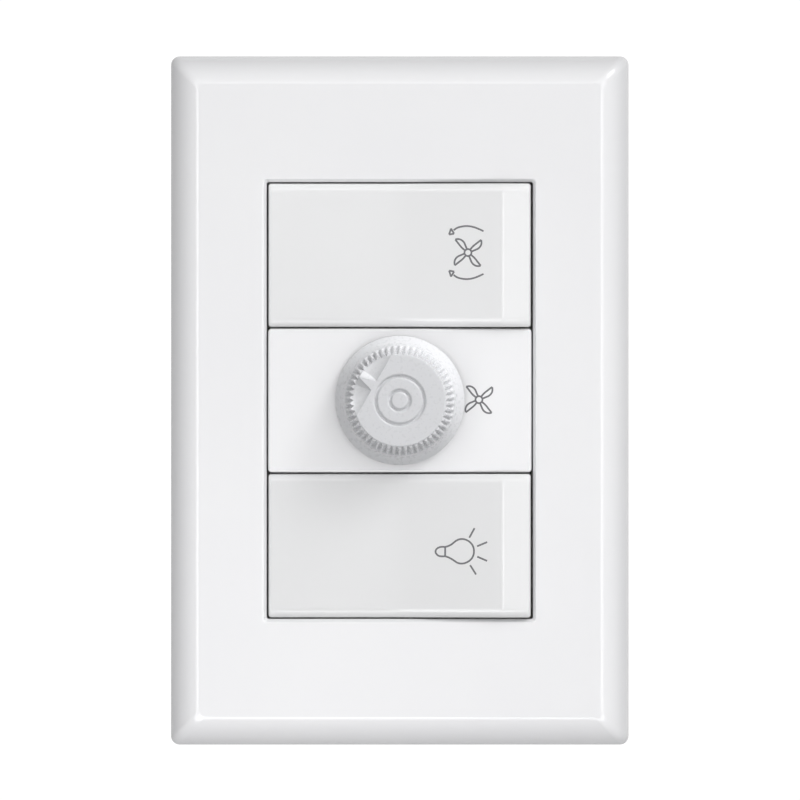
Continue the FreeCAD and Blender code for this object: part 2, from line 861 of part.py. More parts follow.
# Speed control: faceplate, box and board
def make_faceplate():
    """Fixed face with a hole for the potentiometer's bushing."""
    outer = slab(face_width, face_height, (plate_front_y, frame_front_y), faceplate_corner_radius)
    rim = [e for e in outer.Edges if abs(e.BoundBox.YMax - plate_front_y) < 1e-6]
    outer = outer.makeChamfer(faceplate_bevel, rim)
    hollow = slab(
        face_width - 2 * faceplate_wall, face_height - 2 * faceplate_wall,
        (plate_front_y + faceplate_wall, frame_front_y),
    )
    anchor_x = inner_width / 2 - tongue_gap - tongue_wall
    anchor_z = (tongue_z - tongue_width / 2, tongue_z + tongue_width / 2)
    anchors = four_corners(box(
        (anchor_x, face_width / 2 - faceplate_wall / 2), (plate_front_y + faceplate_wall, frame_front_y),
        anchor_z,
    ))
    whole = joined([outer.cut(hollow)] + anchors + clip_tongues())
    hole = rod(
        bushing_radius + bushing_hole_gap, (plate_front_y, plate_front_y + faceplate_wall)
    )
    return whole.cut(hole)


def make_control_box(spots):
    """Deep box with posts for the board and vent slots in its back."""
    body = make_module_box(control_back_y, spots)
    post = box(
        (inner_width / 2 - board_post, inner_width / 2), (board_back_y, control_back_y - box_back_wall),
        (inner_height / 2 - board_post, inner_height / 2),
    )
    body = joined([body] + four_corners(post))
    vents = []
    for i in range(vent_count):
        x = (i - (vent_count - 1) / 2) * vent_pitch
        vents.append(box(
            (x - vent_width / 2, x + vent_width / 2), (control_back_y - box_back_wall, control_back_y),
            (-vent_height / 2, vent_height / 2),
        ))
    return body.cut(vents)


def make_board():
    """Board that rests on the posts in the box."""
    return slab(
        inner_width - 2 * board_gap, inner_height - 2 * board_gap, (board_front_y, board_back_y)
    )


# Potentiometer
def make_pot_body():
    """Round case with a threaded bushing and three pins to the board."""
    case = rod(pot_radius, (pot_front_y, board_front_y))
    bushing = rod(bushing_radius, (-bushing_end, pot_front_y))
    pins = [
        box(
            (x - pot_pin_width / 2, x + pot_pin_width / 2),
            (board_front_y - pot_pin_width, board_front_y),
            (-pot_radius - pot_pin_width, pot_pin_length - pot_radius),
        )
        for x in (-pot_pin_pitch, 0, pot_pin_pitch)
    ]
    case = joined([case, bushing] + pins)
    hollow = rod(
        pot_radius - pot_wall, (pot_front_y + pot_wall, board_front_y - track_thickness - pot_wall)
    )
    bore = rod(shaft_radius + shaft_clearance, (-bushing_end, pot_front_y + pot_wall))
    return case.cut([hollow, bore])


def make_track():
    """Resistance track on its disc, at the back of the case."""
    back_y = board_front_y - track_thickness - pot_wall
    ring = rod(pot_radius - pot_wall - track_gap, (back_y - track_thickness, back_y))
    return ring.cut(rod(shaft_radius, (back_y - track_thickness, back_y)))


def make_shaft():
    """Shaft with a flat for the knob and the rotor inside the case."""
    rotor_y = pot_front_y + pot_wall + track_gap
    tip_y = knob_front_y + knob_wall + shaft_clearance * 2
    bar = rod(shaft_radius, (tip_y, rotor_y + rotor_thickness))
    rotor = rod(rotor_radius, (rotor_y, rotor_y + rotor_thickness))
    flat = box(
        (-shaft_radius, shaft_radius), (tip_y, -bushing_end), (shaft_flat, shaft_radius)
    )
    return joined([bar, rotor]).cut(flat)


def make_nut():
    """Hexagon nut that holds the bushing to the faceplate."""
    corner_radius = nut_across_flats / 2 / math.cos(math.radians(30))
    corners = []
    for i in range(6):
        angle = math.radians(60 * i)
        corners.append(point(
            corner_radius * math.cos(angle), plate_front_y - nut_thickness,
            corner_radius * math.sin(angle),
        ))
    nut = Part.Face(Part.makePolygon(corners + corners[:1])).extrude(inward * nut_thickness)
    hole = rod(bushing_radius + nut_clearance, (plate_front_y - nut_thickness, plate_front_y))
    return nut.cut(hole)


# Speed knob
def toothed_outline(root_radius, y):
    """Round outline with a tooth for each rib."""
    corners = []
    pitch = 2 * math.pi / knob_rib_count
    for i in range(knob_rib_count):
        for turn, radius in (
            (knob_rib_share / 2, root_radius),
            (0.5 - knob_rib_share / 4, root_radius + knob_rib_height),
            (0.5 + knob_rib_share / 4, root_radius + knob_rib_height),
            (1 - knob_rib_share / 2, root_radius),
        ):
            angle = pitch * (i + turn)
            corners.append(point(radius * math.cos(angle), y, radius * math.sin(angle)))
    return Part.makePolygon(corners + corners[:1])


def flare_levels():
    """Radius and height of the steps of the hollow flare above the skirt."""
    levels = []
    for i in range(knob_flare_steps + 1):
        share = i / knob_flare_steps
        hollow = 4 * knob_flare_hollow * share * (1 - share)
        radius = knob_skirt_radius + (knob_band_bottom_radius - knob_skirt_radius) * share
        height = knob_skirt_height + (knob_flare_height - knob_skirt_height) * share
        levels.append((radius - hollow, height))
    return levels


def knob_core():
    """Turned form of the knob: skirt, flare, tapered band and flat face."""
    band_root = knob_band_bottom_radius - knob_rib_height
    top_root = knob_band_top_radius - knob_rib_height
    levels = [(0, 0), (knob_skirt_radius, 0)] + flare_levels() + [
        (band_root, knob_flare_height), (top_root, knob_band_top_height),
        (top_root, knob_height), (0, knob_height),
    ]
    outline = polygon([(radius, knob_back_y - height) for radius, height in levels])
    return Part.Face(outline).revolve(point(0, 0, 0), inward, 360)


def knob_band():
    """Tapered band of ribs."""
    low = toothed_outline(
        knob_band_bottom_radius - knob_rib_height, knob_back_y - knob_flare_height
    )
    high = toothed_outline(
        knob_band_top_radius - knob_rib_height, knob_back_y - knob_band_top_height
    )
    return Part.makeLoft([low, high], True, True)


def knob_pointer():
    """Ridge level with the face that narrows to a tip at the edge of the face."""
    rise = (pointer_end - facet_start) * math.tan(math.radians(facet_slope))
    outlines = []
    for x, top_width in ((facet_start, pointer_width), (pointer_end, pointer_tip_width)):
        corners = [
            point(x, knob_front_y, -top_width / 2),
            point(x, knob_front_y, top_width / 2),
            point(x, knob_front_y + rise, pointer_width / 2),
            point(x, knob_front_y + rise, -pointer_width / 2),
        ]
        outlines.append(Part.makePolygon(corners + corners[:1]))
    return Part.makeLoft(outlines, True, True)


def make_knob():
    """Ribbed knob with ring grooves, an inclined facet and a pointer."""
    solid = joined([knob_core(), knob_band()])
    slope = math.tan(math.radians(facet_slope))
    reach = knob_skirt_radius - facet_start
    facet = Part.Face(Part.makePolygon([
        point(facet_start, knob_front_y, -knob_skirt_radius),
        point(facet_start + reach, knob_front_y + reach * slope, -knob_skirt_radius),
        point(facet_start + reach, knob_front_y, -knob_skirt_radius),
        point(facet_start, knob_front_y, -knob_skirt_radius),
    ])).extrude(point(0, 0, 2 * knob_skirt_radius))
    solid = joined([solid.cut(facet), knob_pointer()])
    solid.rotate(point(0, 0, 0), inward, -pointer_angle)
    grooves = []
    for radius in groove_radii:
        span = (knob_front_y, knob_front_y + groove_depth)
        grooves.append(rod(radius + groove_width / 2, span).cut(rod(radius - groove_width / 2, span)))
    inner_radius = knob_band_top_radius - knob_rib_height - knob_wall
    hollow = rod(inner_radius, (knob_front_y + knob_wall, knob_back_y))
    hub = rod(knob_hub_radius, (knob_front_y + knob_wall / 2, knob_back_y - knob_hub_start))
    webs = []
    for i in range(knob_web_count):
        web = box(
            (0, inner_radius + knob_wall / 2), (knob_front_y + knob_wall / 2, knob_back_y - knob_hub_start),
            (-knob_web_wall / 2, knob_web_wall / 2),
        )
        web.rotate(point(0, 0, 0), inward, 360 * i / knob_web_count)
        webs.append(web)
    solid = joined([solid.cut(grooves + [hollow]), hub] + webs)
    bore = rod(shaft_radius + shaft_clearance, (knob_front_y + knob_wall, knob_back_y))
    flat = box(
        (-knob_hub_radius, knob_hub_radius), (knob_front_y + knob_wall, -bushing_end),
        (shaft_flat + shaft_clearance, knob_hub_radius),
    )
    return solid.cut(bore.cut(flat))


# Parts behind the board
def choke_ring(half):
    """Square section of the choke's ring, from its centre line to a half width."""
    centre_y = board_back_y + choke_foot_radius + choke_winding_half
    return box(
        (choke_radius - half, choke_radius + half), (centre_y - half, centre_y + half), (0, 1)
    ).Faces[4]


def make_choke_core():
    """Ring core of the choke."""
    core = choke_ring(choke_core_half).revolve(point(0, 0, 0), inward, 360)
    core.translate(point(choke_x, 0, choke_z))
    return core


def make_choke_winding():
    """Winding round the core, with two feet on the board."""
    section = choke_ring(choke_winding_half).cut(choke_ring(choke_core_half + choke_winding_gap))
    winding = section.Faces[0].revolve(point(0, 0, 0), inward, choke_wound_angle)
    feet = []
    for degrees in (choke_wound_angle / 4, choke_wound_angle * 3 / 4):
        angle = math.radians(-degrees)
        feet.append(rod(
            choke_foot_radius, (board_back_y, board_back_y + 2 * choke_foot_radius),
            choke_radius * math.cos(angle), choke_radius * math.sin(angle),
        ))
    winding = joined([winding] + feet)
    winding.translate(point(choke_x, 0, choke_z))
    return winding


def make_capacitor():
    """Film capacitor standing on the board."""
    body = box(
        (capacitor_x - capacitor_width / 2, capacitor_x + capacitor_width / 2),
        (board_back_y, board_back_y + capacitor_depth),
        (capacitor_z - capacitor_height / 2, capacitor_z + capacitor_height / 2),
    )
    return body.makeFillet(capacitor_corner, edges_along(body, inward))


def make_heat_sink():
    """Bent aluminium plate with two lips, its foot on the board."""
    x_span = (sink_x - sink_width / 2, sink_x + sink_width / 2)
    y_span = (board_back_y, board_back_y + sink_depth)
    base = box(x_span, y_span, (sink_z, sink_z + sink_wall))
    lips = [
        box((x, x + sink_wall), y_span, (sink_z, sink_z + sink_lip))
        for x in (x_span[0], x_span[1] - sink_wall)
    ]
    hole = Part.makeCylinder(
        rivet_radius, sink_wall, point(sink_x, triac_hole_y(), sink_z), up
    )
    return joined([base] + lips).cut(hole)


def triac_hole_y():
    """Depth of the hole in the triac's tab."""
    return board_back_y + triac_rise + triac_depth * triac_hole_share


def make_triac():
    """Triac flat on the heat sink, its three leads down to the board."""
    low_y = board_back_y + triac_rise
    base_z = sink_z + sink_wall
    body = box(
        (sink_x - triac_width / 2, sink_x + triac_width / 2), (low_y, low_y + triac_depth),
        (base_z, triac_top_z),
    )
    leads = []
    for step in (-1, 0, 1):
        x = sink_x + step * triac_lead_pitch
        z = base_z + triac_height / 2
        leads.append(box(
            (x - triac_lead_width / 2, x + triac_lead_width / 2), (board_back_y, low_y),
            (z - triac_lead_width / 4, z + triac_lead_width / 4),
        ))
    hole = Part.makeCylinder(rivet_radius, triac_height, point(sink_x, triac_hole_y(), base_z), up)
    return joined([body] + leads).cut(hole)


def make_rivet():
    """Rivet through the triac and the heat sink."""
    y = triac_hole_y()
    shank = Part.makeCylinder(
        rivet_radius - rivet_clearance, triac_top_z - sink_z, point(sink_x, y, sink_z), up
    )
    head = Part.makeCylinder(rivet_head_radius, rivet_head_height, point(sink_x, y, triac_top_z), up)
    return joined([shank, head])


def make_resistor(z):
    """Resistor across the board, on two bent leads."""
    y = board_back_y + resistor_board_gap + resistor_radius
    left = (resistor_start_x + resistor_end_x - resistor_length) / 2
    half = resistor_lead_width / 2
    body = Part.makeCylinder(resistor_radius, resistor_length, point(left, y, z), rightward)
    lead = box((resistor_start_x, resistor_end_x), (y - half, y + half), (z - half, z + half))
    legs = [
        box((x, x + resistor_lead_width), (board_back_y, y + half), (z - half, z + half))
        for x in (resistor_start_x, resistor_end_x - resistor_lead_width)
    ]
    return joined([body, lead] + legs)


def make_fuse_tube():
    """Glass tube of the fuse, upright beside the resistors."""
    cap_y = board_back_y + fuse_cap_wall
    return rod(fuse_radius, (cap_y, cap_y + fuse_length), fuse_x, fuse_z)


def make_fuse_cap(low):
    """Metal cap on one end of the fuse."""
    near_y = board_back_y
    far_y = board_back_y + fuse_length + 2 * fuse_cap_wall
    span = (near_y, near_y + fuse_cap_length) if low else (far_y - fuse_cap_length, far_y)
    cap = rod(fuse_outer, span, fuse_x, fuse_z)
    tube_span = (near_y + fuse_cap_wall, far_y - fuse_cap_wall)
    return cap.cut(rod(fuse_radius, tube_span, fuse_x, fuse_z))


def make_strap(side):
    """Strap from the board back to a terminal block."""
    block_front_y = control_back_y - box_back_wall - block_depth
    outer_x = side * (block_x + block_length / 2)
    inner_x = outer_x - side * strap_wall
    centre = side * block_z
    return box(
        (inner_x, outer_x), (board_back_y, block_front_y),
        (centre - strap_width / 2, centre + strap_width / 2),
    )


# The whole control
os.makedirs("parts", exist_ok=True)
save("cover_plate", [make_cover_plate()])
save("support_frame", [make_support_frame()])
save("mounting_screws", [make_box_screw(sign * screw_spacing / 2) for sign in (-1, 1)])

common_spot = (-block_x, -block_z)
throws = {"reversing": (-1, 1), "light": (-1,)}
heights = {"reversing": module_pitch, "light": -module_pitch}
for module, sides in throws.items():
    z = heights[module]
    spots = [common_spot] + [(side * block_x, block_z) for side in sides]
    save(module + "_housing", [make_module_box(switch_back_y, spots)], z)
    save(module + "_bridge", [make_bridge()], z)
    save(module + "_key", [make_key()], z)
    save(module + "_plunger", [make_plunger()], z)
    save(module + "_spring", [make_spring()], z)
    save(module + "_seesaw", [make_seesaw(sides)], z)
    save(module + "_fork", [make_fork()], z)
    save(module + "_fixed_contacts", [make_fixed_contact(side) for side in sides], z)
    save(module + "_terminals", [make_terminal_block(*spot, switch_back_y) for spot in spots], z)
    screws = [make_terminal_screw(*spot, switch_back_y) for spot in spots]
    save(module + "_terminal_screws", screws, z)

control_spots = [(side * block_x, side * block_z) for side in (-1, 1)]
save("control_faceplate", [make_faceplate()])
save("control_housing", [make_control_box(control_spots)])
save("circuit_board", [make_board()])
save("potentiometer_case", [make_pot_body()])
save("potentiometer_track", [make_track()])
save("potentiometer_shaft", [make_shaft()])
save("bushing_nut", [make_nut()])
save("speed_knob", [make_knob()])
save("choke_core", [make_choke_core()])
save("choke_winding", [make_choke_winding()])
save("film_capacitor", [make_capacitor()])
save("heat_sink", [make_heat_sink()])
save("triac", [make_triac()])
save("triac_rivet", [make_rivet()])
save("resistors", [make_resistor(z) for z in resistor_z])
save("fuse_tube", [make_fuse_tube()])
save("fuse_caps", [make_fuse_cap(True), make_fuse_cap(False)])
save("control_straps", [make_strap(side) for side in (-1, 1)])
save("control_terminals", [make_terminal_block(*spot, control_back_y) for spot in control_spots])
screws = [make_terminal_screw(*spot, control_back_y) for spot in control_spots]
save("control_terminal_screws", screws)
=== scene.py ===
import json
import math

import bmesh
import bpy
from mathutils import Matrix, Vector


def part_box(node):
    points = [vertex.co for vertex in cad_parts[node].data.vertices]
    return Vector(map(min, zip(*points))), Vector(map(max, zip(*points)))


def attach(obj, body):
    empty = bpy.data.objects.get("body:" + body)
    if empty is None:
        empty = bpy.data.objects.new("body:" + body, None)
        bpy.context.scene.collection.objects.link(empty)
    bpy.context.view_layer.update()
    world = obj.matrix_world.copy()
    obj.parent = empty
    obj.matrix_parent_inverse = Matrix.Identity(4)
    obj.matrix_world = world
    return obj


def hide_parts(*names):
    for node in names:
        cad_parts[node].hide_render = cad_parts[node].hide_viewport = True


# X to the right, Y into the wall, Z up. Sizes are in millimetres and become metres in finish_piece.
MM = 0.001
# Distances that count as none
hair = 1e-4
cut_margin = 1e-5

# Cover plate
plate_width = 78.9
plate_height = 118.7
plate_front = -8.5
plate_side = 3.5
plate_corner = 1.5
plate_wall = 2.2
border_width = 4.8
border_bulge = 1.0
border_steps = 18
crest_corner = 1.3
window_width = 45.8
window_height = 75.2
window_chamfer = 0.5
window_corner = 0.35
inner_corner = 0.6
collar_wall = 1.4
collar_depth = 3.4
hollow_corner = 1.0
plate_rib_z = 49.175
plate_rib_x = 25.0
plate_rib_half = 0.5
plate_rib_rise = 2.0
lug_x = 29.65
lug_z = 31.0
lug_half_x = 0.7
lug_half_z = 3.5
lug_end_y = -0.3
lug_nose_y = -1.5
lug_nose_x = 1.4
lug_nose_taper = 0.6
sunk = 0.4

# Modules
pitch = 25.0
face_width = 45.3
face_height = 24.7

# Rocker keys
pivot_y = -4.6
key_front = -8.4
key_tilt = 7.0
key_rim = -3.9
key_wall = 1.5
key_crease_x = 17.65
key_end_drop = 0.7
key_bend_radius = 30.0
key_crease_radius = 3.8
key_crease_half = 0.52
key_crease_steps = 14
key_bend_steps = 14
key_edge_depth = 0.95
key_edge_reach = 1.8
key_edge_segments = 12
key_end_edge = 0.45
key_end_segments = 4
key_left_end = 22.6
key_right_end = 22.44
key_raised_front = -9.9
key_left_draft = 0.0006
key_right_draft = 0.0027
key_rib_reach = 13.0
key_rib_x = 10.0
key_rib_half = 0.45
key_rib_foot = 0.3
pin_radius = 1.1
pin_length = 3.0
pin_inset = 0.9
tube_radius = 2.4
tube_bore = 1.65
tube_front = 3.1
tube_end = 8.6
tube_floor = 0.8

# Speed knob, its heights counted from its back
knob_back = -9.0
knob_height = 11.0
# Skirt's rim: radius and height
skirt_rim = [(10.75, 0.0), (11.02, 0.06), (11.1, 0.22), (11.1, 1.2), (11.05, 1.4), (10.92, 1.52)]
skirt_start = 1.5
skirt_top_radius = 9.5
skirt_hollow = 0.4
skirt_steps = 9
knob_cavity = 6.45
cavity_mouth = 10.6
cavity_floor = 9.5
hub_radius = 4.6
hub_bore = 3.05
hub_start = 2.1
web_start = 4.5
web_end = 6.6
web_half = 0.45
knob_ribs = 54
rib_steps = 8
rib_height = 0.55
rib_rows = 8
rib_share_of_pitch = 0.8
band_bottom = 4.6
band_top = 10.7
band_bottom_radius = 8.85
band_top_radius = 7.9
groove_radii = (4.15, 1.7)
groove_half = 0.41
groove_depth = 0.52
pointer_angle = 150.0
facet_start = 5.08
facet_slope = 24.0
facet_dish = 0.3
facet_cuts = 8
pointer_width = 1.75
pointer_end = 8.0
pointer_flank = 0.85
pointer_sunk = 0.15
pointer_point = 0.06

# Box screws
screw_head = 3.2
screw_head_depth = 2.3
screw_point = 0.6
slot_half = 0.4
slot_depth = 1.0
thread_root = 1.35
thread_crest = 1.75
thread_pitch = 0.7
thread_steps = 24
thread_start = 0.3
thread_root_half = 0.42
thread_crest_half = 0.05

# Printed signs: line width, share of it that is left as the paint's thickness, and centres on X and Z
sign_line = 0.31
paint_share = 0.14
reversing_centre = (11.72, 25.44)
speed_centre = (13.62, 0.14)
light_centre = (10.67, -25.94)

# Room light: brightness by the cosine of the angle from the camera's side
base_light = [
    (-1, 1.0), (-0.72, 0.85), (-0.3, 0.18), (0, 0.27), (0.32, 0.46), (0.52, 0.85), (0.8, 1.0), (0.93, 0.35),
    (1, 0.2),
]
base_strength = 0.705
lean_direction = (0.26, 0, 0.34)
lean_share = 0.42
ring_light = [(0, 0.0), (0.81, 0.0), (0.835, 1.0), (0.893, 1.0), (0.92, 0.0)]
ring_strength = 5.6
ring_lean = [(-1, 1.0), (1, 0.3)]
# Light cards round the camera: limits on X and on Z of the direction, and strength
light_cards = [
    ((0.20, 0.36), (-0.12, 0.12), 1.4),
    ((0.06, 0.16), (-0.12, 0.12), 6.0),
    ((-0.36, -0.10), (-0.47, -0.16), 2.2),
    ((-0.56, -0.44), (-0.30, 0.30), 1.5),
]
card_edge = 0.02
seen_strength = 1.05

# Floor and camera, in metres
floor_radius = 0.8
floor_z = -0.0935
view_width = 0.1377
camera_distance = 2.4
camera_shift = (0.00003, 0.00008)

# Lamps: place, width and height in metres, and power in watts
key_lamp = ((1.5, -1.5, 1.7), 1.0, 1.0, 21.5)
knob_lamp = ((0.215, -0.13, 0.29), 0.06, 0.06, 0.8)
plate_lamp = ((-0.03, -0.13, -0.085), 0.08, 0.04, 0.052)

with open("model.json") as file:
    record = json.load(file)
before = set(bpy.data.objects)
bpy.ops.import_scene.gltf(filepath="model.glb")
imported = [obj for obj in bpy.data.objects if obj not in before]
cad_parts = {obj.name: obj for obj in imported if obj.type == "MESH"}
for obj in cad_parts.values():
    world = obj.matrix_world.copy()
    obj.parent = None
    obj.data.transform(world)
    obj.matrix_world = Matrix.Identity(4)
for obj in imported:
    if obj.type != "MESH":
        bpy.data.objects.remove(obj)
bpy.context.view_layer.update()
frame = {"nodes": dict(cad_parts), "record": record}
nodes = frame["nodes"]


# Materials
def plain_nodes(name):
    """New material, its node tree and its shader."""
    material = bpy.data.materials.new(name)
    material.use_nodes = True
    tree = material.node_tree
    return material, tree, tree.nodes["Principled BSDF"]


def noise_on_object(tree, scale, detail, roughness=0.5):
    """Noise texture that reads Object coordinates."""
    place = tree.nodes.new("ShaderNodeTexCoord")
    noise = tree.nodes.new("ShaderNodeTexNoise")
    noise.inputs["Scale"].default_value = scale
    noise.inputs["Detail"].default_value = detail
    noise.inputs["Roughness"].default_value = roughness
    tree.links.new(place.outputs["Object"], noise.inputs["Vector"])
    return noise


def ramp_between(tree, source, low, high, start=0.3, end=0.7):
    """Colour ramp from one colour to another."""
    ramp = tree.nodes.new("ShaderNodeValToRGB")
    ramp.color_ramp.elements[0].position = start
    ramp.color_ramp.elements[0].color = (*low, 1)
    ramp.color_ramp.elements[1].position = end
    ramp.color_ramp.elements[1].color = (*high, 1)
    tree.links.new(source, ramp.inputs["Fac"])
    return ramp.outputs["Color"]


def range_between(tree, source, low, high):
    """Value between two limits."""
    span = tree.nodes.new("ShaderNodeMapRange")
    span.inputs["To Min"].default_value = low
    span.inputs["To Max"].default_value = high
    tree.links.new(source, span.inputs["Value"])
    return span.outputs["Result"]


def add_bump(tree, shader, source, strength, distance, edge_radius):
    """Fine relief from a texture, over softened edges where a radius is given."""
    bump = tree.nodes.new("ShaderNodeBump")
    bump.inputs["Strength"].default_value = strength
    bump.inputs["Distance"].default_value = distance
    if edge_radius:
        soft = tree.nodes.new("ShaderNodeBevel")
        soft.samples = 6
        soft.inputs["Radius"].default_value = edge_radius * MM
        tree.links.new(soft.outputs["Normal"], bump.inputs["Normal"])
    tree.links.new(source, bump.inputs["Height"])
    tree.links.new(bump.outputs["Normal"], shader.inputs["Normal"])


def moulded_plastic(name, colour, shade, roughness, relief_scale, relief, edge_radius=0.0):
    """Moulded plastic: faint tone drift, uneven gloss and a fine skin."""
    material, tree, shader = plain_nodes(name)
    drift = noise_on_object(tree, 35.0, 3.0)
    tree.links.new(ramp_between(tree, drift.outputs["Fac"], shade, colour), shader.inputs["Base Color"])
    skin = noise_on_object(tree, relief_scale, 4.0, 0.6)
    tree.links.new(
        range_between(tree, skin.outputs["Fac"], roughness * 0.85, roughness * 1.15),
        shader.inputs["Roughness"],
    )
    shader.inputs["IOR"].default_value = 1.5
    add_bump(tree, shader, skin.outputs["Fac"], relief, 0.00002, edge_radius)
    return material


def worked_metal(name, colour, shade, roughness, scale, relief, edge_radius=0.0):
    """Plated or drawn metal with fine streaks and a slightly stained tone."""
    material, tree, shader = plain_nodes(name)
    stain = noise_on_object(tree, scale, 6.0, 0.65)
    tree.links.new(ramp_between(tree, stain.outputs["Fac"], shade, colour), shader.inputs["Base Color"])
    tree.links.new(
        range_between(tree, stain.outputs["Fac"], roughness * 0.7, roughness * 1.3),
        shader.inputs["Roughness"],
    )
    shader.inputs["Metallic"].default_value = 1.0
    add_bump(tree, shader, stain.outputs["Fac"], relief, 0.00003, edge_radius)
    return material


plate_white = moulded_plastic("plate_white", (0.73, 0.73, 0.739), (0.717, 0.717, 0.729), 0.12, 900, 0.08)
key_white = moulded_plastic("key_white", (0.762, 0.764, 0.769), (0.751, 0.753, 0.758), 0.12, 900, 0.08)
face_white = moulded_plastic(
    "face_white", (0.745, 0.745, 0.755), (0.732, 0.732, 0.742), 0.15, 900, 0.1, 0.25
)
knob_white = moulded_plastic("knob_white", (0.594, 0.599, 0.614), (0.584, 0.589, 0.604), 0.28, 1400, 0.06)
frame_white = moulded_plastic("frame_white", (0.66, 0.66, 0.64), (0.60, 0.60, 0.58), 0.5, 1200, 0.5, 0.25)
box_white = moulded_plastic("box_white", (0.72, 0.72, 0.69), (0.66, 0.66, 0.63), 0.45, 1200, 0.5, 0.3)
inner_nylon = moulded_plastic("inner_nylon", (0.62, 0.58, 0.48), (0.55, 0.51, 0.42), 0.5, 1000, 0.5, 0.15)
board_green = moulded_plastic("board_green", (0.03, 0.17, 0.07), (0.02, 0.12, 0.05), 0.35, 2000, 0.4)
ferrite_grey = moulded_plastic("ferrite_grey", (0.05, 0.05, 0.055), (0.03, 0.03, 0.035), 0.7, 3000, 0.8)
foil_yellow = moulded_plastic("foil_yellow", (0.62, 0.42, 0.05), (0.52, 0.34, 0.04), 0.3, 700, 0.2)
epoxy_black = moulded_plastic("epoxy_black", (0.02, 0.02, 0.02), (0.012, 0.012, 0.012), 0.55, 2500, 0.7)
lacquer_tan = moulded_plastic("lacquer_tan", (0.45, 0.33, 0.20), (0.38, 0.27, 0.16), 0.3, 900, 0.3)
print_grey = moulded_plastic("print_grey", (0.15, 0.15, 0.158), (0.128, 0.128, 0.136), 0.45, 2500, 0.3)


def paint_shade_on_knob_face():
    """Painted shade: a darker colour on the flat end of the knob stands in for shade on that face."""
    tree = knob_white.node_tree
    shader = tree.nodes["Principled BSDF"]
    place = tree.nodes.new("ShaderNodeTexCoord")
    parts = tree.nodes.new("ShaderNodeSeparateXYZ")
    tree.links.new(place.outputs["Object"], parts.inputs["Vector"])
    depth = tree.nodes.new("ShaderNodeMapRange")
    depth.interpolation_type = "SMOOTHSTEP"
    depth.inputs["From Min"].default_value = (knob_back - knob_height + 0.05) * MM
    depth.inputs["From Max"].default_value = (knob_back - knob_height + 0.6) * MM
    tree.links.new(parts.outputs["Y"], depth.inputs["Value"])
    # Painted shade: the end face is mixed to a darker colour that stands in for shade, not for a darker
    # plastic.
    tone = tree.nodes.new("ShaderNodeMix")
    tone.data_type = "RGBA"
    tone.inputs["A"].default_value = (0.512, 0.517, 0.532, 1)
    tree.links.new(depth.outputs["Result"], tone.inputs["Factor"])
    tree.links.new(shader.inputs["Base Color"].links[0].from_socket, tone.inputs["B"])
    tree.links.new(tone.outputs["Result"], shader.inputs["Base Color"])


paint_shade_on_knob_face()
zinc = worked_metal("zinc", (0.72, 0.73, 0.74), (0.58, 0.59, 0.60), 0.3, 900, 0.25, 0.12)
spring_steel = worked_metal("spring_steel", (0.45, 0.45, 0.47), (0.35, 0.35, 0.37), 0.35, 1500, 0.25)
brass = worked_metal("brass", (0.78, 0.56, 0.25), (0.66, 0.45, 0.18), 0.28, 700, 0.2, 0.1)
copper = worked_metal("copper", (0.72, 0.30, 0.13), (0.55, 0.20, 0.08), 0.25, 1500, 0.2)
sheet_aluminium = worked_metal(
    "sheet_aluminium", (0.80, 0.81, 0.82), (0.70, 0.71, 0.72), 0.4, 900, 0.35, 0.15
)
fuse_glass = moulded_plastic("fuse_glass", (0.93, 0.96, 0.97), (0.90, 0.94, 0.95), 0.04, 400, 0.02)
fuse_glass.node_tree.nodes["Principled BSDF"].inputs["Transmission Weight"].default_value = 0.9

node_finish = {
    "plate_plastic": plate_white,
    "key_plastic": face_white,
    "knob_plastic": knob_white,
    "frame_plastic": frame_white,
    "box_plastic": box_white,
    "inner_plastic": inner_nylon,
    "zinc_steel": zinc,
    "spring_steel": spring_steel,
    "contact_brass": brass,
    "board_laminate": board_green,
    "ferrite": ferrite_grey,
    "copper_wire": copper,
    "capacitor_case": foil_yellow,
    "black_epoxy": epoxy_black,
    "sink_aluminium": sheet_aluminium,
    "resistor_lacquer": lacquer_tan,
    "fuse_glass": fuse_glass,
}
for part in frame["record"]["subparts"]:
    mesh = nodes[part["node"]].data
    mesh.materials.clear()
    mesh.materials.append(node_finish[part["material_slot"]])


# Making pieces
def finish_piece(bm, name, material, body, replaced=(), smooth_angle=30.0):
    """Turn a shape in millimetres into a piece that rides on its body."""
    bmesh.ops.recalc_face_normals(bm, faces=bm.faces)
    bmesh.ops.scale(bm, vec=(MM, MM, MM), verts=bm.verts)
    mesh = bpy.data.meshes.new(name)
    bm.to_mesh(mesh)
    bm.free()
    mesh.materials.append(material)
    piece = bpy.data.objects.new(name, mesh)
    bpy.context.scene.collection.objects.link(piece)
    for face in mesh.polygons:
        face.use_smooth = True
    mesh.set_sharp_from_angle(angle=math.radians(smooth_angle))
    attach(piece, body)
    if replaced:
        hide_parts(*replaced)
    return piece


def even_flats(piece):
    """Keep the shading of large flat faces even up to their rounded edges."""
    even = piece.modifiers.new("even_flats", "WEIGHTED_NORMAL")
    even.keep_sharp = True
    even.weight = 50


def rounded_rectangle(bm, width, height, corner, segments, y=0.0):
    """One upright face with rounded corners, facing the room."""
    made = bmesh.ops.create_grid(bm, x_segments=1, y_segments=1, size=0.5)
    bmesh.ops.rotate(bm, matrix=Matrix.Rotation(math.radians(90), 3, "X"), verts=made["verts"])
    bmesh.ops.scale(bm, vec=(width, 1, height), verts=made["verts"])
    bmesh.ops.translate(bm, vec=(0, y, 0), verts=made["verts"])
    face = made["verts"][0].link_faces[0]
    bmesh.ops.bevel(
        bm, geom=list(face.verts), offset=corner, segments=segments, profile=0.5,
        affect="VERTICES", material=-1,
    )
    return [f for f in bm.faces if f.is_valid][-1]


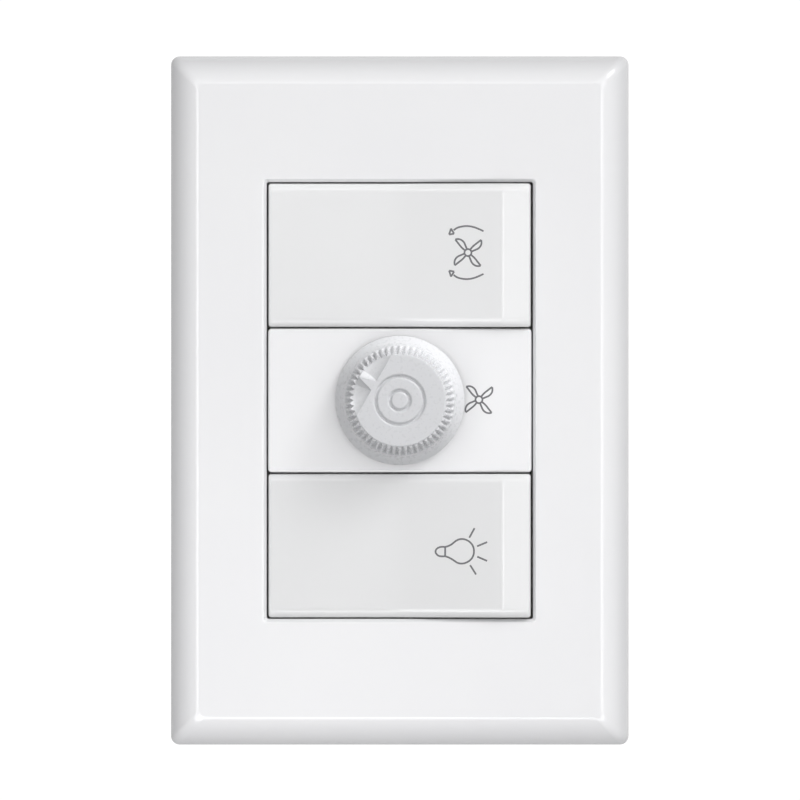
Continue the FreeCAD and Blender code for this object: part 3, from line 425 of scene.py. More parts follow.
def draw_ring_in(bm, edges, half, corner, step_x, step_z, y, new_corner):
    """Extrude a rounded ring and set its size, its depth and its corner radius."""
    made = bmesh.ops.extrude_edge_only(bm, edges=edges)
    verts = [v for v in made["geom"] if isinstance(v, bmesh.types.BMVert)]
    new_half = (half[0] - step_x, half[1] - step_z)
    for sx in (-1, 1):
        for sz in (-1, 1):
            group = [v for v in verts if v.co.x * sx > 0 and v.co.z * sz > 0]
            centre = Vector((sx * (half[0] - corner), group[0].co.y, sz * (half[1] - corner)))
            target = Vector((sx * (new_half[0] - new_corner), y, sz * (new_half[1] - new_corner)))
            share = new_corner / corner
            bmesh.ops.scale(bm, vec=(share, 1, share), space=Matrix.Translation(-centre), verts=group)
            bmesh.ops.translate(bm, vec=target - centre, verts=group)
    new_edges = [e for e in made["geom"] if isinstance(e, bmesh.types.BMEdge)]
    return new_edges, new_half, new_corner


def border_levels():
    """Steps of the bulged border from its foot to its crest: inset and depth."""
    rise = -plate_front - plate_side
    chord = math.hypot(border_width, rise)
    radius = (chord * chord / 4 + border_bulge ** 2) / (2 * border_bulge)
    half_angle = math.asin(chord / 2 / radius)
    lean = math.atan2(rise, border_width)
    levels = []
    for i in range(border_steps + 1):
        turn = half_angle * (2 * i / border_steps - 1)
        along = chord / 2 + radius * math.sin(turn)
        out = radius * math.cos(turn) - (radius - border_bulge)
        inset = along * math.cos(lean) - out * math.sin(lean)
        height = along * math.sin(lean) + out * math.cos(lean)
        levels.append((inset, -plate_side - height))
    return levels


def add_block(bm, x_span, y_span, z_span):
    """Plain block between two values on each axis."""
    size = [b - a for a, b in (x_span, y_span, z_span)]
    centre = [(a + b) / 2 for a, b in (x_span, y_span, z_span)]
    made = bmesh.ops.create_cube(bm, size=1)
    bmesh.ops.scale(bm, vec=size, verts=made["verts"])
    bmesh.ops.translate(bm, vec=centre, verts=made["verts"])
    return made["verts"]


# Cover plate
def add_plate_ribs(bm, inner_y):
    """Two ribs across the plate's back."""
    rib_y = (inner_y - sunk, inner_y + plate_rib_rise)
    for z in (-plate_rib_z, plate_rib_z):
        add_block(bm, (-plate_rib_x, plate_rib_x), rib_y, (z - plate_rib_half, z + plate_rib_half))


def add_snap_lugs(bm, inner_y):
    """Four lugs behind the plate, each with a nose that snaps into the frame."""
    for side in (-1, 1):
        for z in (-lug_z, lug_z):
            stem_x = sorted(side * (lug_x + reach) for reach in (-lug_half_x, lug_half_x))
            nose_x = sorted(side * (lug_x + reach) for reach in (lug_half_x - 0.2, lug_nose_x))
            span_z = (z - lug_half_z, z + lug_half_z)
            add_block(bm, stem_x, (inner_y - sunk, lug_end_y), span_z)
            nose = add_block(bm, nose_x, (lug_nose_y, lug_end_y), span_z)
            tip = [v for v in nose if v.co.y > lug_nose_y + 0.5 and abs(v.co.x) > lug_x + 1]
            bmesh.ops.translate(bm, vec=(-side * lug_nose_taper, 0, 0), verts=tip)


def make_cover_plate():
    """Plate with a bulged mitred border, a chamfered window and a hollow back."""
    bm = bmesh.new()
    face = rounded_rectangle(bm, plate_width, plate_height, plate_corner, 8)
    edges = list(face.edges)
    start = list(edges)
    bmesh.ops.delete(bm, geom=[face], context="FACES_ONLY")
    half = (plate_width / 2, plate_height / 2)
    corner = plate_corner
    last_inset = 0.0
    for inset, y in [(0.0, sunk - plate_side)] + border_levels():
        new_corner = plate_corner + (crest_corner - plate_corner) * inset / border_width
        step = inset - last_inset
        edges, half, corner = draw_ring_in(bm, edges, half, corner, step, step, y, new_corner)
        last_inset = inset
    window = (window_width / 2, window_height / 2)
    hollow = (plate_width / 2 - plate_wall, plate_height / 2 - plate_wall)
    collar_y = plate_front + collar_depth
    inner_y = plate_front + plate_wall
    # Each ring: the half size it is counted from, what is added to that, its depth and its corner
    rings = [
        (half, -0.12, plate_front - 0.004, crest_corner),
        (half, -0.35, plate_front, crest_corner),
        (window, window_chamfer + 0.6, plate_front, inner_corner),
        (window, window_chamfer + 0.25, plate_front, inner_corner),
        (window, window_chamfer + 0.05, plate_front + 0.02, inner_corner),
        (window, window_chamfer, plate_front + 0.07, inner_corner),
        (window, 0.05, plate_front + window_chamfer + 0.25, window_corner),
        (window, 0.0, plate_front + window_chamfer + 0.35, window_corner),
        (window, 0.0, collar_y, window_corner),
        (window, collar_wall, collar_y, inner_corner),
        (window, collar_wall, inner_y, inner_corner),
        (hollow, -border_width, inner_y, inner_corner),
        (hollow, -border_width / 2, inner_y + 1.4, inner_corner),
        (hollow, 0.0, inner_y + 4.2, hollow_corner),
        (hollow, 0.0, 0.0, hollow_corner),
    ]
    for size, growth, y, new_corner in rings:
        edges, half, corner = draw_ring_in(
            bm, edges, half, corner, half[0] - size[0] - growth, half[1] - size[1] - growth, y, new_corner
        )
    bmesh.ops.bridge_loops(bm, edges=start + edges)
    add_plate_ribs(bm, inner_y)
    add_snap_lugs(bm, inner_y)
    piece = finish_piece(
        bm, "plate_shell", plate_white, "control_body", ["cover_plate"], 50
    )
    even_flats(piece)
    return piece


# Rocker keys
def key_front_y(x):
    """Depth of the key's front: level half, wide bend, raised half, crease, end strip."""
    slope = math.tan(math.radians(key_tilt))
    back = key_end_drop / (face_width / 2 - key_crease_x)
    reach = key_bend_radius * math.tan(math.radians(key_tilt / 2))
    if x < -reach:
        return key_front
    if x < reach:
        return key_front - (key_bend_radius - math.sqrt(key_bend_radius ** 2 - (x + reach) ** 2))
    over = x - key_crease_x
    half = key_crease_radius * (math.atan(slope) + math.atan(back)) / 2
    if over < -half:
        return key_front - x * slope
    if over > half:
        return key_front - key_crease_x * slope + over * back
    share = (over + half) / (2 * half)
    return key_front - key_crease_x * slope - over * slope + (slope + back) * half * share ** 2


def key_rim_y(x):
    """Depth of the key's rim behind its front."""
    return key_rim - max(x, 0) * math.tan(math.radians(key_tilt))


def key_stations():
    """Places along the key where its section changes, the first at its left end."""
    reach = key_bend_radius * math.tan(math.radians(key_tilt / 2))
    bend = [reach * (2 * i / key_bend_steps - 1) for i in range(key_bend_steps + 1)]
    crease = [
        key_crease_x + key_crease_half * (2 * i / key_crease_steps - 1) for i in range(key_crease_steps + 1)
    ]
    return [-key_left_end, -12] + bend + [8] + crease + [20, key_right_end]


def key_section(bm):
    """Section at the key's left end, its two front corners rounded into ellipses."""
    half = face_height / 2
    middle_y = (key_rim + key_front) / 2
    made = bmesh.ops.create_grid(bm, x_segments=1, y_segments=1, size=0.5)["verts"]
    bmesh.ops.rotate(bm, matrix=Matrix.Rotation(math.radians(90), 3, "Y"), verts=made)
    bmesh.ops.scale(bm, vec=(1, key_rim - key_front, face_height), verts=made)
    bmesh.ops.translate(bm, vec=(-key_left_end, middle_y, 0), verts=made)
    bmesh.ops.bevel(
        bm, geom=[v for v in made if v.co.y < middle_y], offset=key_edge_depth,
        segments=key_edge_segments, profile=0.5, affect="VERTICES", material=-1,
    )
    level_half = half - key_edge_depth
    for v in bm.verts:
        over = abs(v.co.z) - level_half
        if over > hair:
            v.co.z = math.copysign(half - key_edge_reach + over * key_edge_reach / key_edge_depth, v.co.z)
        elif over > -hair:
            v.co.z = math.copysign(half - key_edge_reach, v.co.z)
    face = list(bm.faces)[0]
    edges = list(face.edges)
    bmesh.ops.delete(bm, geom=[face], context="FACES_ONLY")
    return edges


def draw_key_body(bm, edges):
    """Draw the section along the key, taper its ends and close them."""
    last_x = -key_left_end
    for x in key_stations()[1:]:
        made = bmesh.ops.extrude_edge_only(bm, edges=edges)["geom"]
        edges = [e for e in made if isinstance(e, bmesh.types.BMEdge)]
        for v in (v for v in made if isinstance(v, bmesh.types.BMVert)):
            line = key_rim_y if abs(v.co.y - key_rim_y(last_x)) < 10 * hair else key_front_y
            v.co.y += line(x) - line(last_x)
            v.co.x = x
        last_x = x
    for v in bm.verts:
        if v.co.x < 0.1 - key_right_end:
            v.co.x *= 1 + (v.co.y - key_front) * key_left_draft
        elif v.co.x > key_right_end - 0.1:
            v.co.x *= 1 + (v.co.y - key_raised_front) * key_right_draft
    bmesh.ops.holes_fill(bm, edges=bm.edges, sides=0)
    bmesh.ops.recalc_face_normals(bm, faces=bm.faces)


def round_key_ends(bm):
    """Round the sharp edges of the end faces, except those along the rim."""
    half = face_height / 2
    rims = []
    for edge in bm.edges:
        at_end = min(abs(v.co.x) for v in edge.verts) > key_right_end - 0.6
        before_rim = max(v.co.y for v in edge.verts) - key_rim_y(edge.verts[0].co.x) < -0.5
        at_side = min(abs(v.co.z) for v in edge.verts) > half - 0.1
        if at_end and edge.calc_face_angle(0) > 0.9 and (before_rim or at_side):
            rims.append(edge)
    bmesh.ops.bevel(
        bm, geom=rims, offset=key_end_edge, segments=key_end_segments, profile=0.5, affect="EDGES",
        material=-1, clamp_overlap=True,
    )


def hollow_key(bm):
    """Sink the key's back down to an even wall."""
    under = [f for f in bm.faces if f.normal.y > 0.7 and f.calc_area() > 1]
    bmesh.ops.inset_region(bm, faces=under, thickness=key_wall, use_even_offset=True)
    made = bmesh.ops.extrude_face_region(bm, geom=under)
    moved = [v for v in made["geom"] if isinstance(v, bmesh.types.BMVert)]
    bmesh.ops.translate(bm, vec=(0, key_front + key_wall - key_rim, 0), verts=moved)
    bmesh.ops.delete(bm, geom=under, context="FACES_ONLY")


def add_key_ribs(bm):
    """Ribs inside the key, along it and across it."""
    half = face_height / 2
    slope = math.tan(math.radians(key_tilt))
    rib_y = (key_front + key_wall - key_rib_foot, key_rim)
    ribs = []
    for span_x in ((-key_rib_reach, 0), (0, key_rib_reach)):
        ribs += add_block(bm, span_x, rib_y, (-key_rib_half, key_rib_half))
    for x in (-key_rib_x, key_rib_x):
        span_x = (x - key_rib_half, x + key_rib_half)
        ribs += add_block(bm, span_x, rib_y, (key_wall - half, half - key_wall))
    for v in ribs:
        v.co.y -= slope * max(v.co.x, 0)


def add_key_pins(bm):
    """Pivot pins on the key's side walls."""
    half = face_height / 2
    for side in (-1, 1):
        pin = bmesh.ops.create_cone(
            bm, cap_ends=True, segments=32, radius1=pin_radius, radius2=pin_radius, depth=pin_length
        )["verts"]
        bmesh.ops.translate(bm, vec=(0, pivot_y, side * (half - key_wall - pin_inset)), verts=pin)


def add_plunger_tube(bm):
    """Tube that holds the plunger, turned by half the key's tilt."""
    tube_outline = [
        (0, tube_front), (tube_radius, tube_front), (tube_radius, -tube_end), (tube_bore, -tube_end),
        (tube_bore, -tube_floor), (0, -tube_floor),
    ]
    tube = spin_outline(bm, tube_outline, 48, pivot_y)
    bmesh.ops.rotate(
        bm, cent=(0, pivot_y, 0), matrix=Matrix.Rotation(math.radians(-key_tilt / 2), 3, "Z"), verts=tube
    )


def make_key(name, body, node, z):
    """Rocker key: rounded section drawn along the front's line, hollow, with ribs, pins and tube."""
    bm = bmesh.new()
    draw_key_body(bm, key_section(bm))
    round_key_ends(bm)
    hollow_key(bm)
    add_key_ribs(bm)
    add_key_pins(bm)
    add_plunger_tube(bm)
    bmesh.ops.translate(bm, vec=(0, 0, z), verts=bm.verts)
    even_flats(finish_piece(bm, name, key_white, body, [node], 50))


# Speed knob
def knob_levels():
    """Radius, height and share of the rib's height along the outside of the knob."""
    levels = [(radius, height, 0) for radius, height in skirt_rim]
    rim_radius = skirt_rim[-1][0]
    for i in range(1, skirt_steps):
        share = i / skirt_steps
        hollow = 4 * skirt_hollow * share * (1 - share)
        radius = rim_radius + (skirt_top_radius - rim_radius) * share - hollow
        levels.append((radius, skirt_start + (band_bottom - skirt_start) * share, 0))
    levels += [
        (skirt_top_radius - 0.05, band_bottom, 0.0), (skirt_top_radius - 0.08, band_bottom + 0.12, 0.0)
    ]
    first = band_bottom + 0.3
    last = band_top - 0.15
    for i in range(rib_rows + 1):
        share = i / rib_rows
        radius = band_bottom_radius + (band_top_radius - band_bottom_radius) * share
        levels.append((radius, first + (last - first) * share, 1.0))
    levels += [
        (band_top_radius, band_top, 0.75),
        (band_top_radius, band_top + 0.02, 0.0),
        (band_top_radius, knob_height - 0.1, 0.0),
        (band_top_radius - 0.04, knob_height - 0.03, 0.0),
        (band_top_radius - 0.12, knob_height, 0.0),
    ]
    return levels


def rib_share(angle):
    """Share of the rib's height at an angle round the knob."""
    off = (angle * knob_ribs / (2 * math.pi)) % 1.0 - 0.5
    if abs(off) >= rib_share_of_pitch / 2:
        return 0.0
    return max(0.0, math.cos(off * math.pi / rib_share_of_pitch)) ** 0.8


def groove_levels():
    """Radius and height from the rim of the face to its centre, over two grooves."""
    levels = [(7.6, 0)]
    lip = groove_half - 0.06
    floor = 0.05
    for radius in groove_radii:
        levels += [
            (radius + groove_half + 0.12, 0), (radius + groove_half, 0), (radius + lip, -0.03),
            (radius + floor, -groove_depth), (radius - floor, -groove_depth), (radius - lip, -0.03),
            (radius - groove_half, 0), (radius - groove_half - 0.12, 0),
        ]
    levels += [(0.6, 0), (0.0, 0)]
    return [(radius, knob_height + sink) for radius, sink in levels]


def spin_outline(bm, outline, steps, base_y):
    """Turn an outline of radius and height above a base once round the Y axis."""
    before = set(bm.verts)
    verts = [bm.verts.new((radius, base_y - height, 0)) for radius, height in outline]
    edges = [bm.edges.new(pair) for pair in zip(verts, verts[1:])]
    bmesh.ops.spin(
        bm, geom=verts + edges, cent=(0, 0, 0), axis=(0, 1, 0), dvec=(0, 0, 0),
        angle=2 * math.pi, steps=steps, use_merge=True, use_duplicate=False,
    )
    made = [v for v in bm.verts if v not in before]
    bmesh.ops.remove_doubles(bm, verts=made, dist=hair)
    return [v for v in bm.verts if v not in before]


def dish_facet(bm, patch, along):
    """Divide the inclined facet by parallel cuts and sink its middle."""
    across = along.cross(Vector((0, 1, 0)))
    reach = band_top_radius + rib_height - facet_start
    half_chord = math.sqrt(band_top_radius ** 2 - facet_start ** 2)
    cuts = [(along, facet_start + reach * i / facet_cuts) for i in range(1, facet_cuts)]
    cuts += [(across, half_chord * i / facet_cuts) for i in range(1 - facet_cuts, facet_cuts)]
    for direction, offset in cuts:
        geom = set(patch)
        for face in patch:
            geom.update(face.edges)
            geom.update(face.verts)
        made = bmesh.ops.bisect_plane(
            bm, geom=list(geom), dist=cut_margin, plane_co=direction * offset, plane_no=direction
        )
        patch = [f for f in made["geom"] if isinstance(f, bmesh.types.BMFace)]
    inner = {v for f in patch for v in f.verts if all(near in patch for near in v.link_faces)}
    for v in inner:
        out = (v.co.dot(along) - facet_start) / reach
        side = v.co.dot(across) / half_chord
        v.co.y += facet_dish * 4 * out * (1 - out) * max(0.0, 1 - side * side)


def raise_ribs(bm, outside):
    """Push the band's points outwards where a rib stands."""
    shares = sorted((height, share) for _, height, share in outside)
    for v in bm.verts:
        height = knob_back - v.co.y
        radius = math.hypot(v.co.x, v.co.z)
        if radius > band_top_radius - 0.01 and height > band_bottom:
            below = max((p for p in shares if p[0] <= height + hair), key=lambda p: p[0])
            out = rib_height * below[1] * rib_share(math.atan2(v.co.z, v.co.x))
            v.co.x *= 1 + out / radius
            v.co.z *= 1 + out / radius


def cut_facet(bm, along):
    """Cut the inclined facet on the pointer's side and dish it."""
    slope = math.radians(facet_slope)
    corner = along * facet_start + Vector((0, knob_back - knob_height, 0))
    normal = along * math.sin(slope) + Vector((0, -math.cos(slope), 0))
    cut = bmesh.ops.bisect_plane(
        bm, geom=bm.verts[:] + bm.edges[:] + bm.faces[:], dist=cut_margin, plane_co=corner,
        plane_no=normal, clear_outer=True, clear_inner=False,
    )
    rim = [e for e in cut["geom_cut"] if isinstance(e, bmesh.types.BMEdge)]
    dish_facet(bm, bmesh.ops.contextual_create(bm, geom=rim)["faces"], along)


def add_knob_hub(bm):
    """Hub that sits on the shaft, and four webs that hold it."""
    hub_outline = [
        (knob_cavity, cavity_floor), (hub_radius, cavity_floor), (hub_radius, hub_start),
        (hub_bore, hub_start), (hub_bore, cavity_floor), (0, cavity_floor),
    ]
    spin_outline(bm, hub_outline, 96, knob_back)
    web_y = (knob_back - cavity_floor - 0.1, knob_back - hub_start)
    for quarter in range(4):
        web = add_block(bm, (web_start, web_end), web_y, (-web_half, web_half))
        bmesh.ops.rotate(bm, matrix=Matrix.Rotation(math.pi / 2 * quarter, 3, "Y"), verts=web)


def add_pointer(bm, turn):
    """Pointed ridge over the facet, with sloping flanks."""
    face_y = knob_back - knob_height
    depth = (pointer_end - facet_start) * math.tan(math.radians(facet_slope)) + pointer_sunk
    ridge = add_block(
        bm, (facet_start - 0.05, pointer_end), (face_y + 0.002, face_y + depth),
        (-pointer_width / 2, pointer_width / 2),
    )
    tip = [v for v in ridge if v.co.x > pointer_end - 0.1]
    bmesh.ops.scale(bm, vec=(1, 1, pointer_point), verts=tip)
    for v in ridge:
        if v.co.y > face_y + 0.1:
            v.co.z += math.copysign(pointer_flank * depth, v.co.z)
    bmesh.ops.rotate(bm, matrix=turn, verts=ridge)


def keep_facet_crisp(mesh, along):
    """Leave the line between the knob's end face and its facet sharp."""
    face_y = knob_back - knob_height
    near = 20 * hair
    for edge in mesh.edges:
        ends = [mesh.vertices[i].co / MM for i in edge.vertices]
        if all(abs(end.dot(along) - facet_start) < near and abs(end.y - face_y) < near for end in ends):
            edge.use_edge_sharp = True


def make_knob():
    """Ribbed hollow knob with two ring grooves, an inclined facet, a pointer ridge, a hub and webs."""
    bm = bmesh.new()
    outside = knob_levels()
    outline = [(knob_cavity, cavity_floor), (knob_cavity, 0.0), (cavity_mouth, 0.0)]
    outline += [(radius, height) for radius, height, _ in outside] + groove_levels()
    spin_outline(bm, outline, knob_ribs * rib_steps, knob_back)
    raise_ribs(bm, outside)
    turn = Matrix.Rotation(math.radians(-pointer_angle), 3, "Y")
    along = turn @ Vector((1, 0, 0))
    cut_facet(bm, along)
    add_knob_hub(bm)
    add_pointer(bm, turn)
    piece = finish_piece(bm, "knob_shell", knob_white, "knob", ["speed_knob"], 38)
    keep_facet_crisp(piece.data, along)
    return piece


# Box screws
def cut_slot(bm, depth_y):
    """Sink a slot across the screw's head, down to a depth."""
    for side in (-1, 1):
        bmesh.ops.bisect_plane(
            bm, geom=bm.verts[:] + bm.edges[:] + bm.faces[:], dist=cut_margin,
            plane_co=(0, 0, side * slot_half), plane_no=(0, 0, 1),
        )
    strip = [
        f for f in bm.faces
        if abs(f.calc_center_median().z) < slot_half and f.calc_center_median().y < depth_y
        and f.normal.y < -0.3
    ]
    made = bmesh.ops.extrude_face_region(bm, geom=strip)
    for v in (v for v in made["geom"] if isinstance(v, bmesh.types.BMVert)):
        v.co.y = depth_y
    bmesh.ops.delete(bm, geom=strip, context="FACES_ONLY")


def screw_body(bm, crown_y, tip_y):
    """Slotted head and plain core of a box screw."""
    length = tip_y - crown_y
    outline = [
        (0, 0), (screw_head - 0.9, 0), (screw_head - 0.12, 0.78), (screw_head, 0.95),
        (screw_head, screw_head_depth), (thread_root, screw_head_depth),
        (thread_root, length - screw_point), (thread_root - 0.5, length), (0, length),
    ]
    spin_outline(bm, [(radius, -deep) for radius, deep in outline], 48, crown_y)
    bmesh.ops.recalc_face_normals(bm, faces=bm.faces)
    cut_slot(bm, crown_y + slot_depth)


def roll_thread(bm, tip_y):
    """Thread wound round the core from behind the neck to the tip."""
    turns = int((tip_y - screw_point - 0.2 - thread_start) / thread_pitch)
    root_half = thread_pitch * thread_root_half
    section = [
        (thread_root - 0.05, -root_half), (thread_crest, -thread_crest_half),
        (thread_crest, thread_crest_half), (thread_root - 0.05, root_half),
    ]
    verts = [bm.verts.new((radius, thread_start + deep, 0)) for radius, deep in section]
    edges = [bm.edges.new((verts[i], verts[(i + 1) % 4])) for i in range(4)]
    end = bmesh.ops.spin(
        bm, geom=verts + edges, cent=(0, 0, 0), axis=(0, 1, 0),
        dvec=(0, thread_pitch / thread_steps, 0), angle=2 * math.pi * turns,
        steps=thread_steps * turns, use_merge=False, use_duplicate=False,
    )["geom_last"]
    bmesh.ops.contextual_create(bm, geom=edges)
    bmesh.ops.contextual_create(bm, geom=[e for e in end if isinstance(e, bmesh.types.BMEdge)])


def make_box_screws():
    """Two long screws with a slotted head, a plain neck and a rolled thread."""
    low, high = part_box("mounting_screws")
    crown_y = low[1] / MM
    tip_y = high[1] / MM
    place_z = high[2] / MM - screw_head
    bm = bmesh.new()
    for side in (-1, 1):
        one = bmesh.new()
        screw_body(one, crown_y, tip_y)
        roll_thread(one, tip_y)
        bmesh.ops.translate(one, vec=(0, 0, side * place_z), verts=one.verts)
        mesh = bpy.data.meshes.new("one_screw")
        one.to_mesh(mesh)
        one.free()
        bm.from_mesh(mesh)
        bpy.data.meshes.remove(mesh)
    finish_piece(bm, "box_screws", zinc, "control_body", ["mounting_screws"], 35)


# Printed signs
def printed_line(points, closed=False, smooth=True):
    """One line of a sign: points in the plane of the face."""
    return {"points": points, "closed": closed, "smooth": smooth}


def fan_sign():
    """Hub ring and four blades, each with a straight and a full side."""
    lines = [printed_line([
        (0.6 * math.cos(a), 0.6 * math.sin(a)) for a in [math.pi * i / 8 for i in range(16)]
    ], closed=True)]
    for quarter in range(4):
        axis = math.radians(44 + 90 * quarter)
        along = Vector((math.cos(axis), math.sin(axis)))
        across = Vector((-along.y, along.x))

        def on_blade(u, v):
            spot = along * u + across * v
            return (spot.x, spot.y)

        straight = [on_blade(0.62, 0.1), on_blade(1.4, 0.17), on_blade(2.2, 0.1), on_blade(3.15, 0.0)]
        full = [
            on_blade(3.15, 0.0), on_blade(2.78, -0.46), on_blade(2.3, -0.7), on_blade(1.72, -0.72),
            on_blade(1.2, -0.54), on_blade(0.54, -0.28),
        ]
        lines += [printed_line(straight), printed_line(full)]
    return lines


def turning_arrows():
    """Arcs over and under the fan, each with an open arrow head."""
    over = [
        (-2.46, 3.85), (-1.9, 4.23), (-1.18, 4.46), (-0.1, 4.56), (0.93, 4.4), (1.8, 4.08), (2.68, 3.68),
    ]
    head = [(-2.92, 4.14), (-3.24, 3.1), (-2.38, 3.26)]
    lines = []
    for side in (1, -1):
        lines.append(printed_line([(x, z * side) for x, z in over]))
        for start, end in zip(head, head[1:] + head[:1]):
            lines.append(printed_line([(start[0], start[1] * side), (end[0], end[1] * side)], smooth=False))
    return lines


def lamp_sign():
    """Lamp on its side with its cap and four rays."""
    bulb = [
        (-2.87, 0.73), (-2.3, 0.91), (-1.76, 1.19), (-1.25, 1.6), (-0.72, 1.95), (0.0, 2.1),
        (0.8, 1.93), (1.5, 1.46), (1.93, 0.82), (2.08, 0.0), (1.93, -0.82), (1.5, -1.46),
        (0.8, -1.93), (0.0, -2.12), (-0.72, -2.0), (-1.25, -1.67), (-1.76, -1.33), (-2.3, -1.06),
        (-2.87, -0.86),
    ]
    cap = [
        (-2.87, 0.73), (-3.5, 0.74), (-4.0, 0.62), (-4.4, 0.3), (-4.52, -0.1), (-4.35, -0.5),
        (-4.0, -0.78), (-3.5, -0.88), (-2.87, -0.86),
    ]
    neck = [(-2.87, 0.73), (-2.87, -0.86)]
    lines = [printed_line(bulb), printed_line(cap), printed_line(neck, smooth=False)]
    for ray in (
        ((1.28, 2.32), (2.18, 3.98)), ((2.62, 0.86), (4.36, 1.58)),
        ((2.64, -0.92), (4.34, -1.66)), ((1.42, -2.38), (2.44, -4.0)),
    ):
        lines.append(printed_line(list(ray), smooth=False))
    return lines


def print_sign(name, lines, centre, front_y, lean, body):
    """Lay a sign on a face as a thin film of paint."""
    curve = bpy.data.curves.new(name, "CURVE")
    curve.dimensions = "3D"
    curve.bevel_depth = sign_line / 2
    curve.bevel_resolution = 2
    curve.resolution_u = 6
    curve.use_fill_caps = True
    for line in lines:
        spline = curve.splines.new("BEZIER")
        spline.bezier_points.add(len(line["points"]) - 1)
        for knot, (x, z) in zip(spline.bezier_points, line["points"]):
            knot.co = (x, 0, z)
            knot.handle_left_type = "AUTO" if line["smooth"] else "VECTOR"
            knot.handle_right_type = "AUTO" if line["smooth"] else "VECTOR"
        spline.use_cyclic_u = line["closed"]
    holder = bpy.data.objects.new(name + "_line", curve)
    bpy.context.scene.collection.objects.link(holder)
    bpy.context.view_layer.update()
    mesh = bpy.data.meshes.new_from_object(holder)
    bpy.data.objects.remove(holder)
    bm = bmesh.new()
    bm.from_mesh(mesh)
    bpy.data.meshes.remove(mesh)
    bmesh.ops.scale(bm, vec=(1, paint_share, 1), verts=bm.verts)
    slope = math.tan(math.radians(lean))
    bmesh.ops.translate(bm, vec=(centre[0], front_y, centre[1]), verts=bm.verts)
    for v in bm.verts:
        v.co.y -= slope * v.co.x
    finish_piece(bm, name, print_grey, body)


plate_shell = make_cover_plate()
make_key("reversing_key_shell", "reversing_rocker", "reversing_key", pitch)
make_key("light_key_shell", "light_rocker", "light_key", -pitch)
knob_shell = make_knob()
make_box_screws()
reversing_lines = fan_sign() + turning_arrows()
print_sign("reversing_sign", reversing_lines, reversing_centre, key_front, key_tilt, "reversing_rocker")
print_sign("speed_sign", fan_sign(), speed_centre, plate_front, 0.0, "control_body")
print_sign("light_sign", lamp_sign(), light_centre, key_front, key_tilt, "light_rocker")


# Room: floor, light and camera
def make_floor():
    """Pale round floor below the control."""
    bm = bmesh.new()
    bmesh.ops.create_circle(bm, cap_ends=True, segments=128, radius=floor_radius)
    bmesh.ops.translate(bm, vec=(0, 0, floor_z), verts=bm.verts)
    mesh = bpy.data.meshes.new("floor")
    bm.to_mesh(mesh)
    bm.free()
    material, tree, shader = plain_nodes("floor_white")
    grain = noise_on_object(tree, 20, 2.0)
    tree.links.new(
        ramp_between(tree, grain.outputs["Fac"], (0.89, 0.89, 0.895), (0.905, 0.905, 0.91)),
        shader.inputs["Base Color"],
    )
    shader.inputs["Roughness"].default_value = 0.6
    mesh.materials.append(material)
    floor = bpy.data.objects.new("floor", mesh)
    floor.visible_glossy = False
    bpy.context.scene.collection.objects.link(floor)


def tone_by_direction(tree, direction, stops):
    """World brightness by the cosine of the angle from a direction: -1 behind, 1 straight on."""
    place = tree.nodes.new("ShaderNodeTexCoord")
    front = tree.nodes.new("ShaderNodeVectorMath")
    front.operation = "DOT_PRODUCT"
    front.inputs[1].default_value = direction
    tree.links.new(place.outputs["Generated"], front.inputs[0])
    span = tree.nodes.new("ShaderNodeMapRange")
    span.inputs["From Min"].default_value = -1
    tree.links.new(front.outputs["Value"], span.inputs["Value"])
    ramp = tree.nodes.new("ShaderNodeValToRGB")
    ramp.color_ramp.interpolation = "EASE"
    elements = ramp.color_ramp.elements
    while len(elements) < len(stops):
        elements.new(0.5)
    for element, (cosine, level) in zip(elements, stops):
        element.position = (cosine + 1) / 2
        element.color = (level, level, level, 1)
    tree.links.new(span.outputs["Result"], ramp.inputs["Fac"])
    return ramp.outputs["Color"]


def combine(tree, operation, first, second):
    """Sum or product of two values, or of a value and a number."""
    math_node = tree.nodes.new("ShaderNodeMath")
    math_node.operation = operation
    tree.links.new(first, math_node.inputs[0])
    if isinstance(second, float):
        math_node.inputs[1].default_value = second
    else:
        tree.links.new(second, math_node.inputs[1])
    return math_node.outputs["Value"]


def light_card(tree, direction, x_span, z_span, strength):
    """Bright card on the camera's side with soft edges."""
    limits = [("Y", 0.0, -0.2)]
    for axis, (low, high) in (("X", x_span), ("Z", z_span)):
        limits += [(axis, low - card_edge, low + card_edge), (axis, high + card_edge, high - card_edge)]
    level = None
    for axis, start, end in limits:
        edge = tree.nodes.new("ShaderNodeMapRange")
        edge.interpolation_type = "SMOOTHSTEP"
        edge.inputs["From Min"].default_value = start
        edge.inputs["From Max"].default_value = end
        tree.links.new(direction.outputs[axis], edge.inputs["Value"])
        step = edge.outputs["Result"]
        level = step if level is None else combine(tree, "MULTIPLY", level, step)
    return combine(tree, "MULTIPLY", level, strength)


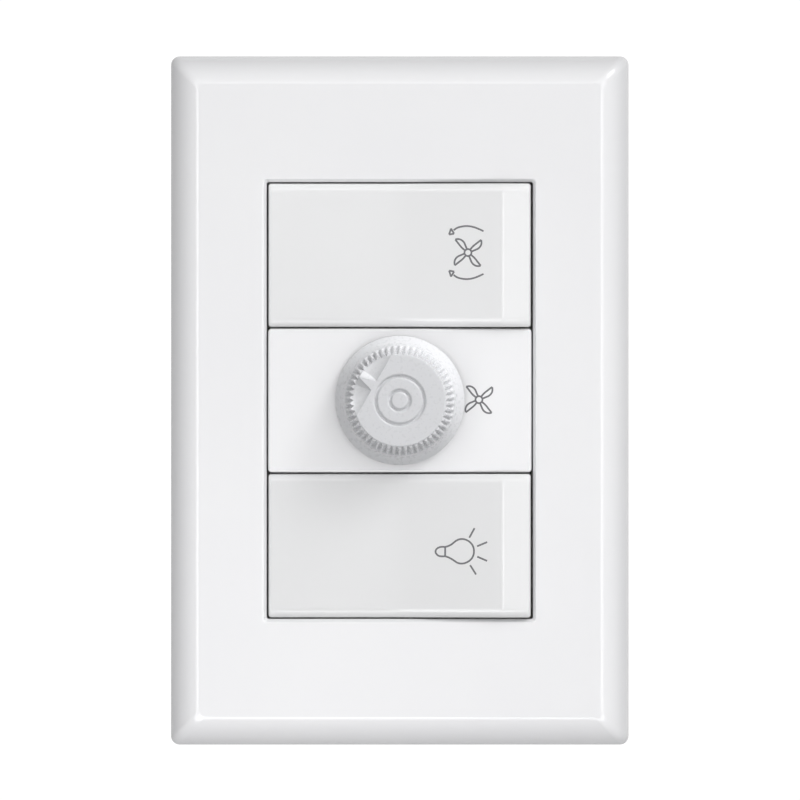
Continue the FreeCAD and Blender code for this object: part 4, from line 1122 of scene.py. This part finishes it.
def light_room():
    """Soft room light, stronger from the upper right, with a bright ring and cards round the camera."""
    world = bpy.data.worlds.new("room")
    bpy.context.scene.world = world
    world.use_nodes = True
    tree = world.node_tree
    tree.nodes.clear()
    base = tone_by_direction(tree, (0, -1, 0), base_light)
    lean = tone_by_direction(tree, Vector(lean_direction).normalized(), [(-1, 0.0), (1, 1.0)])
    lean = combine(tree, "ADD", combine(tree, "MULTIPLY", lean, 2 * lean_share), 1.0 - lean_share)
    ring = tone_by_direction(tree, (0, -1, 0), ring_light)
    ring = combine(tree, "MULTIPLY", ring, tone_by_direction(tree, (0, 0, 1), ring_lean))
    base = combine(tree, "MULTIPLY", combine(tree, "MULTIPLY", base, lean), base_strength)
    strength = combine(tree, "ADD", base, combine(tree, "MULTIPLY", ring, ring_strength))
    place = tree.nodes.new("ShaderNodeTexCoord")
    direction = tree.nodes.new("ShaderNodeSeparateXYZ")
    tree.links.new(place.outputs["Generated"], direction.inputs["Vector"])
    for x_span, z_span, card_strength in light_cards:
        card = light_card(tree, direction, x_span, z_span, card_strength)
        strength = combine(tree, "ADD", strength, card)
    glow = tree.nodes.new("ShaderNodeBackground")
    glow.inputs["Color"].default_value = (1, 1, 1, 1)
    tree.links.new(strength, glow.inputs["Strength"])
    seen = tree.nodes.new("ShaderNodeBackground")
    seen.inputs["Color"].default_value = (1, 1, 1, 1)
    seen.inputs["Strength"].default_value = seen_strength
    path = tree.nodes.new("ShaderNodeLightPath")
    blend = tree.nodes.new("ShaderNodeMixShader")
    tree.links.new(path.outputs["Is Camera Ray"], blend.inputs["Fac"])
    tree.links.new(glow.outputs["Background"], blend.inputs[1])
    tree.links.new(seen.outputs["Background"], blend.inputs[2])
    out = tree.nodes.new("ShaderNodeOutputWorld")
    tree.links.new(blend.outputs["Shader"], out.inputs["Surface"])


def add_softbox(name, place, width, height, energy):
    """Rectangular soft light that points at the control."""
    lamp = bpy.data.lights.new(name, "AREA")
    lamp.shape = "RECTANGLE"
    lamp.size = width
    lamp.size_y = height
    lamp.energy = energy
    holder = bpy.data.objects.new(name, lamp)
    holder.location = place
    holder.rotation_euler = (-Vector(place)).to_track_quat("-Z", "Y").to_euler()
    holder.visible_camera = False
    bpy.context.scene.collection.objects.link(holder)
    return holder


def light_only(lamp, pieces):
    """Let a lamp light some pieces and nothing else."""
    lit = bpy.data.collections.new("lit_by_" + lamp.name)
    for piece in pieces:
        lit.objects.link(piece)
    lamp.light_linking.receiver_collection = lit


def place_camera():
    """Straight-on view at the height of the plate's centre."""
    lens = bpy.data.cameras.new("camera")
    lens.sensor_width = 36
    lens.lens = 36 * camera_distance / view_width
    lens.clip_start = 0.05
    holder = bpy.data.objects.new("camera", lens)
    holder.location = (camera_shift[0], plate_front * MM - camera_distance, camera_shift[1])
    holder.rotation_euler = (math.radians(90), 0, 0)
    bpy.context.scene.collection.objects.link(holder)
    bpy.context.scene.camera = holder


make_floor()
light_room()
add_softbox("key_light", *key_lamp)
light_only(add_softbox("knob_light", *knob_lamp), [knob_shell])
light_only(add_softbox("plate_light", *plate_lamp), [plate_shell, nodes["control_faceplate"]])
place_camera()
bpy.context.scene.view_settings.view_transform = "Standard"
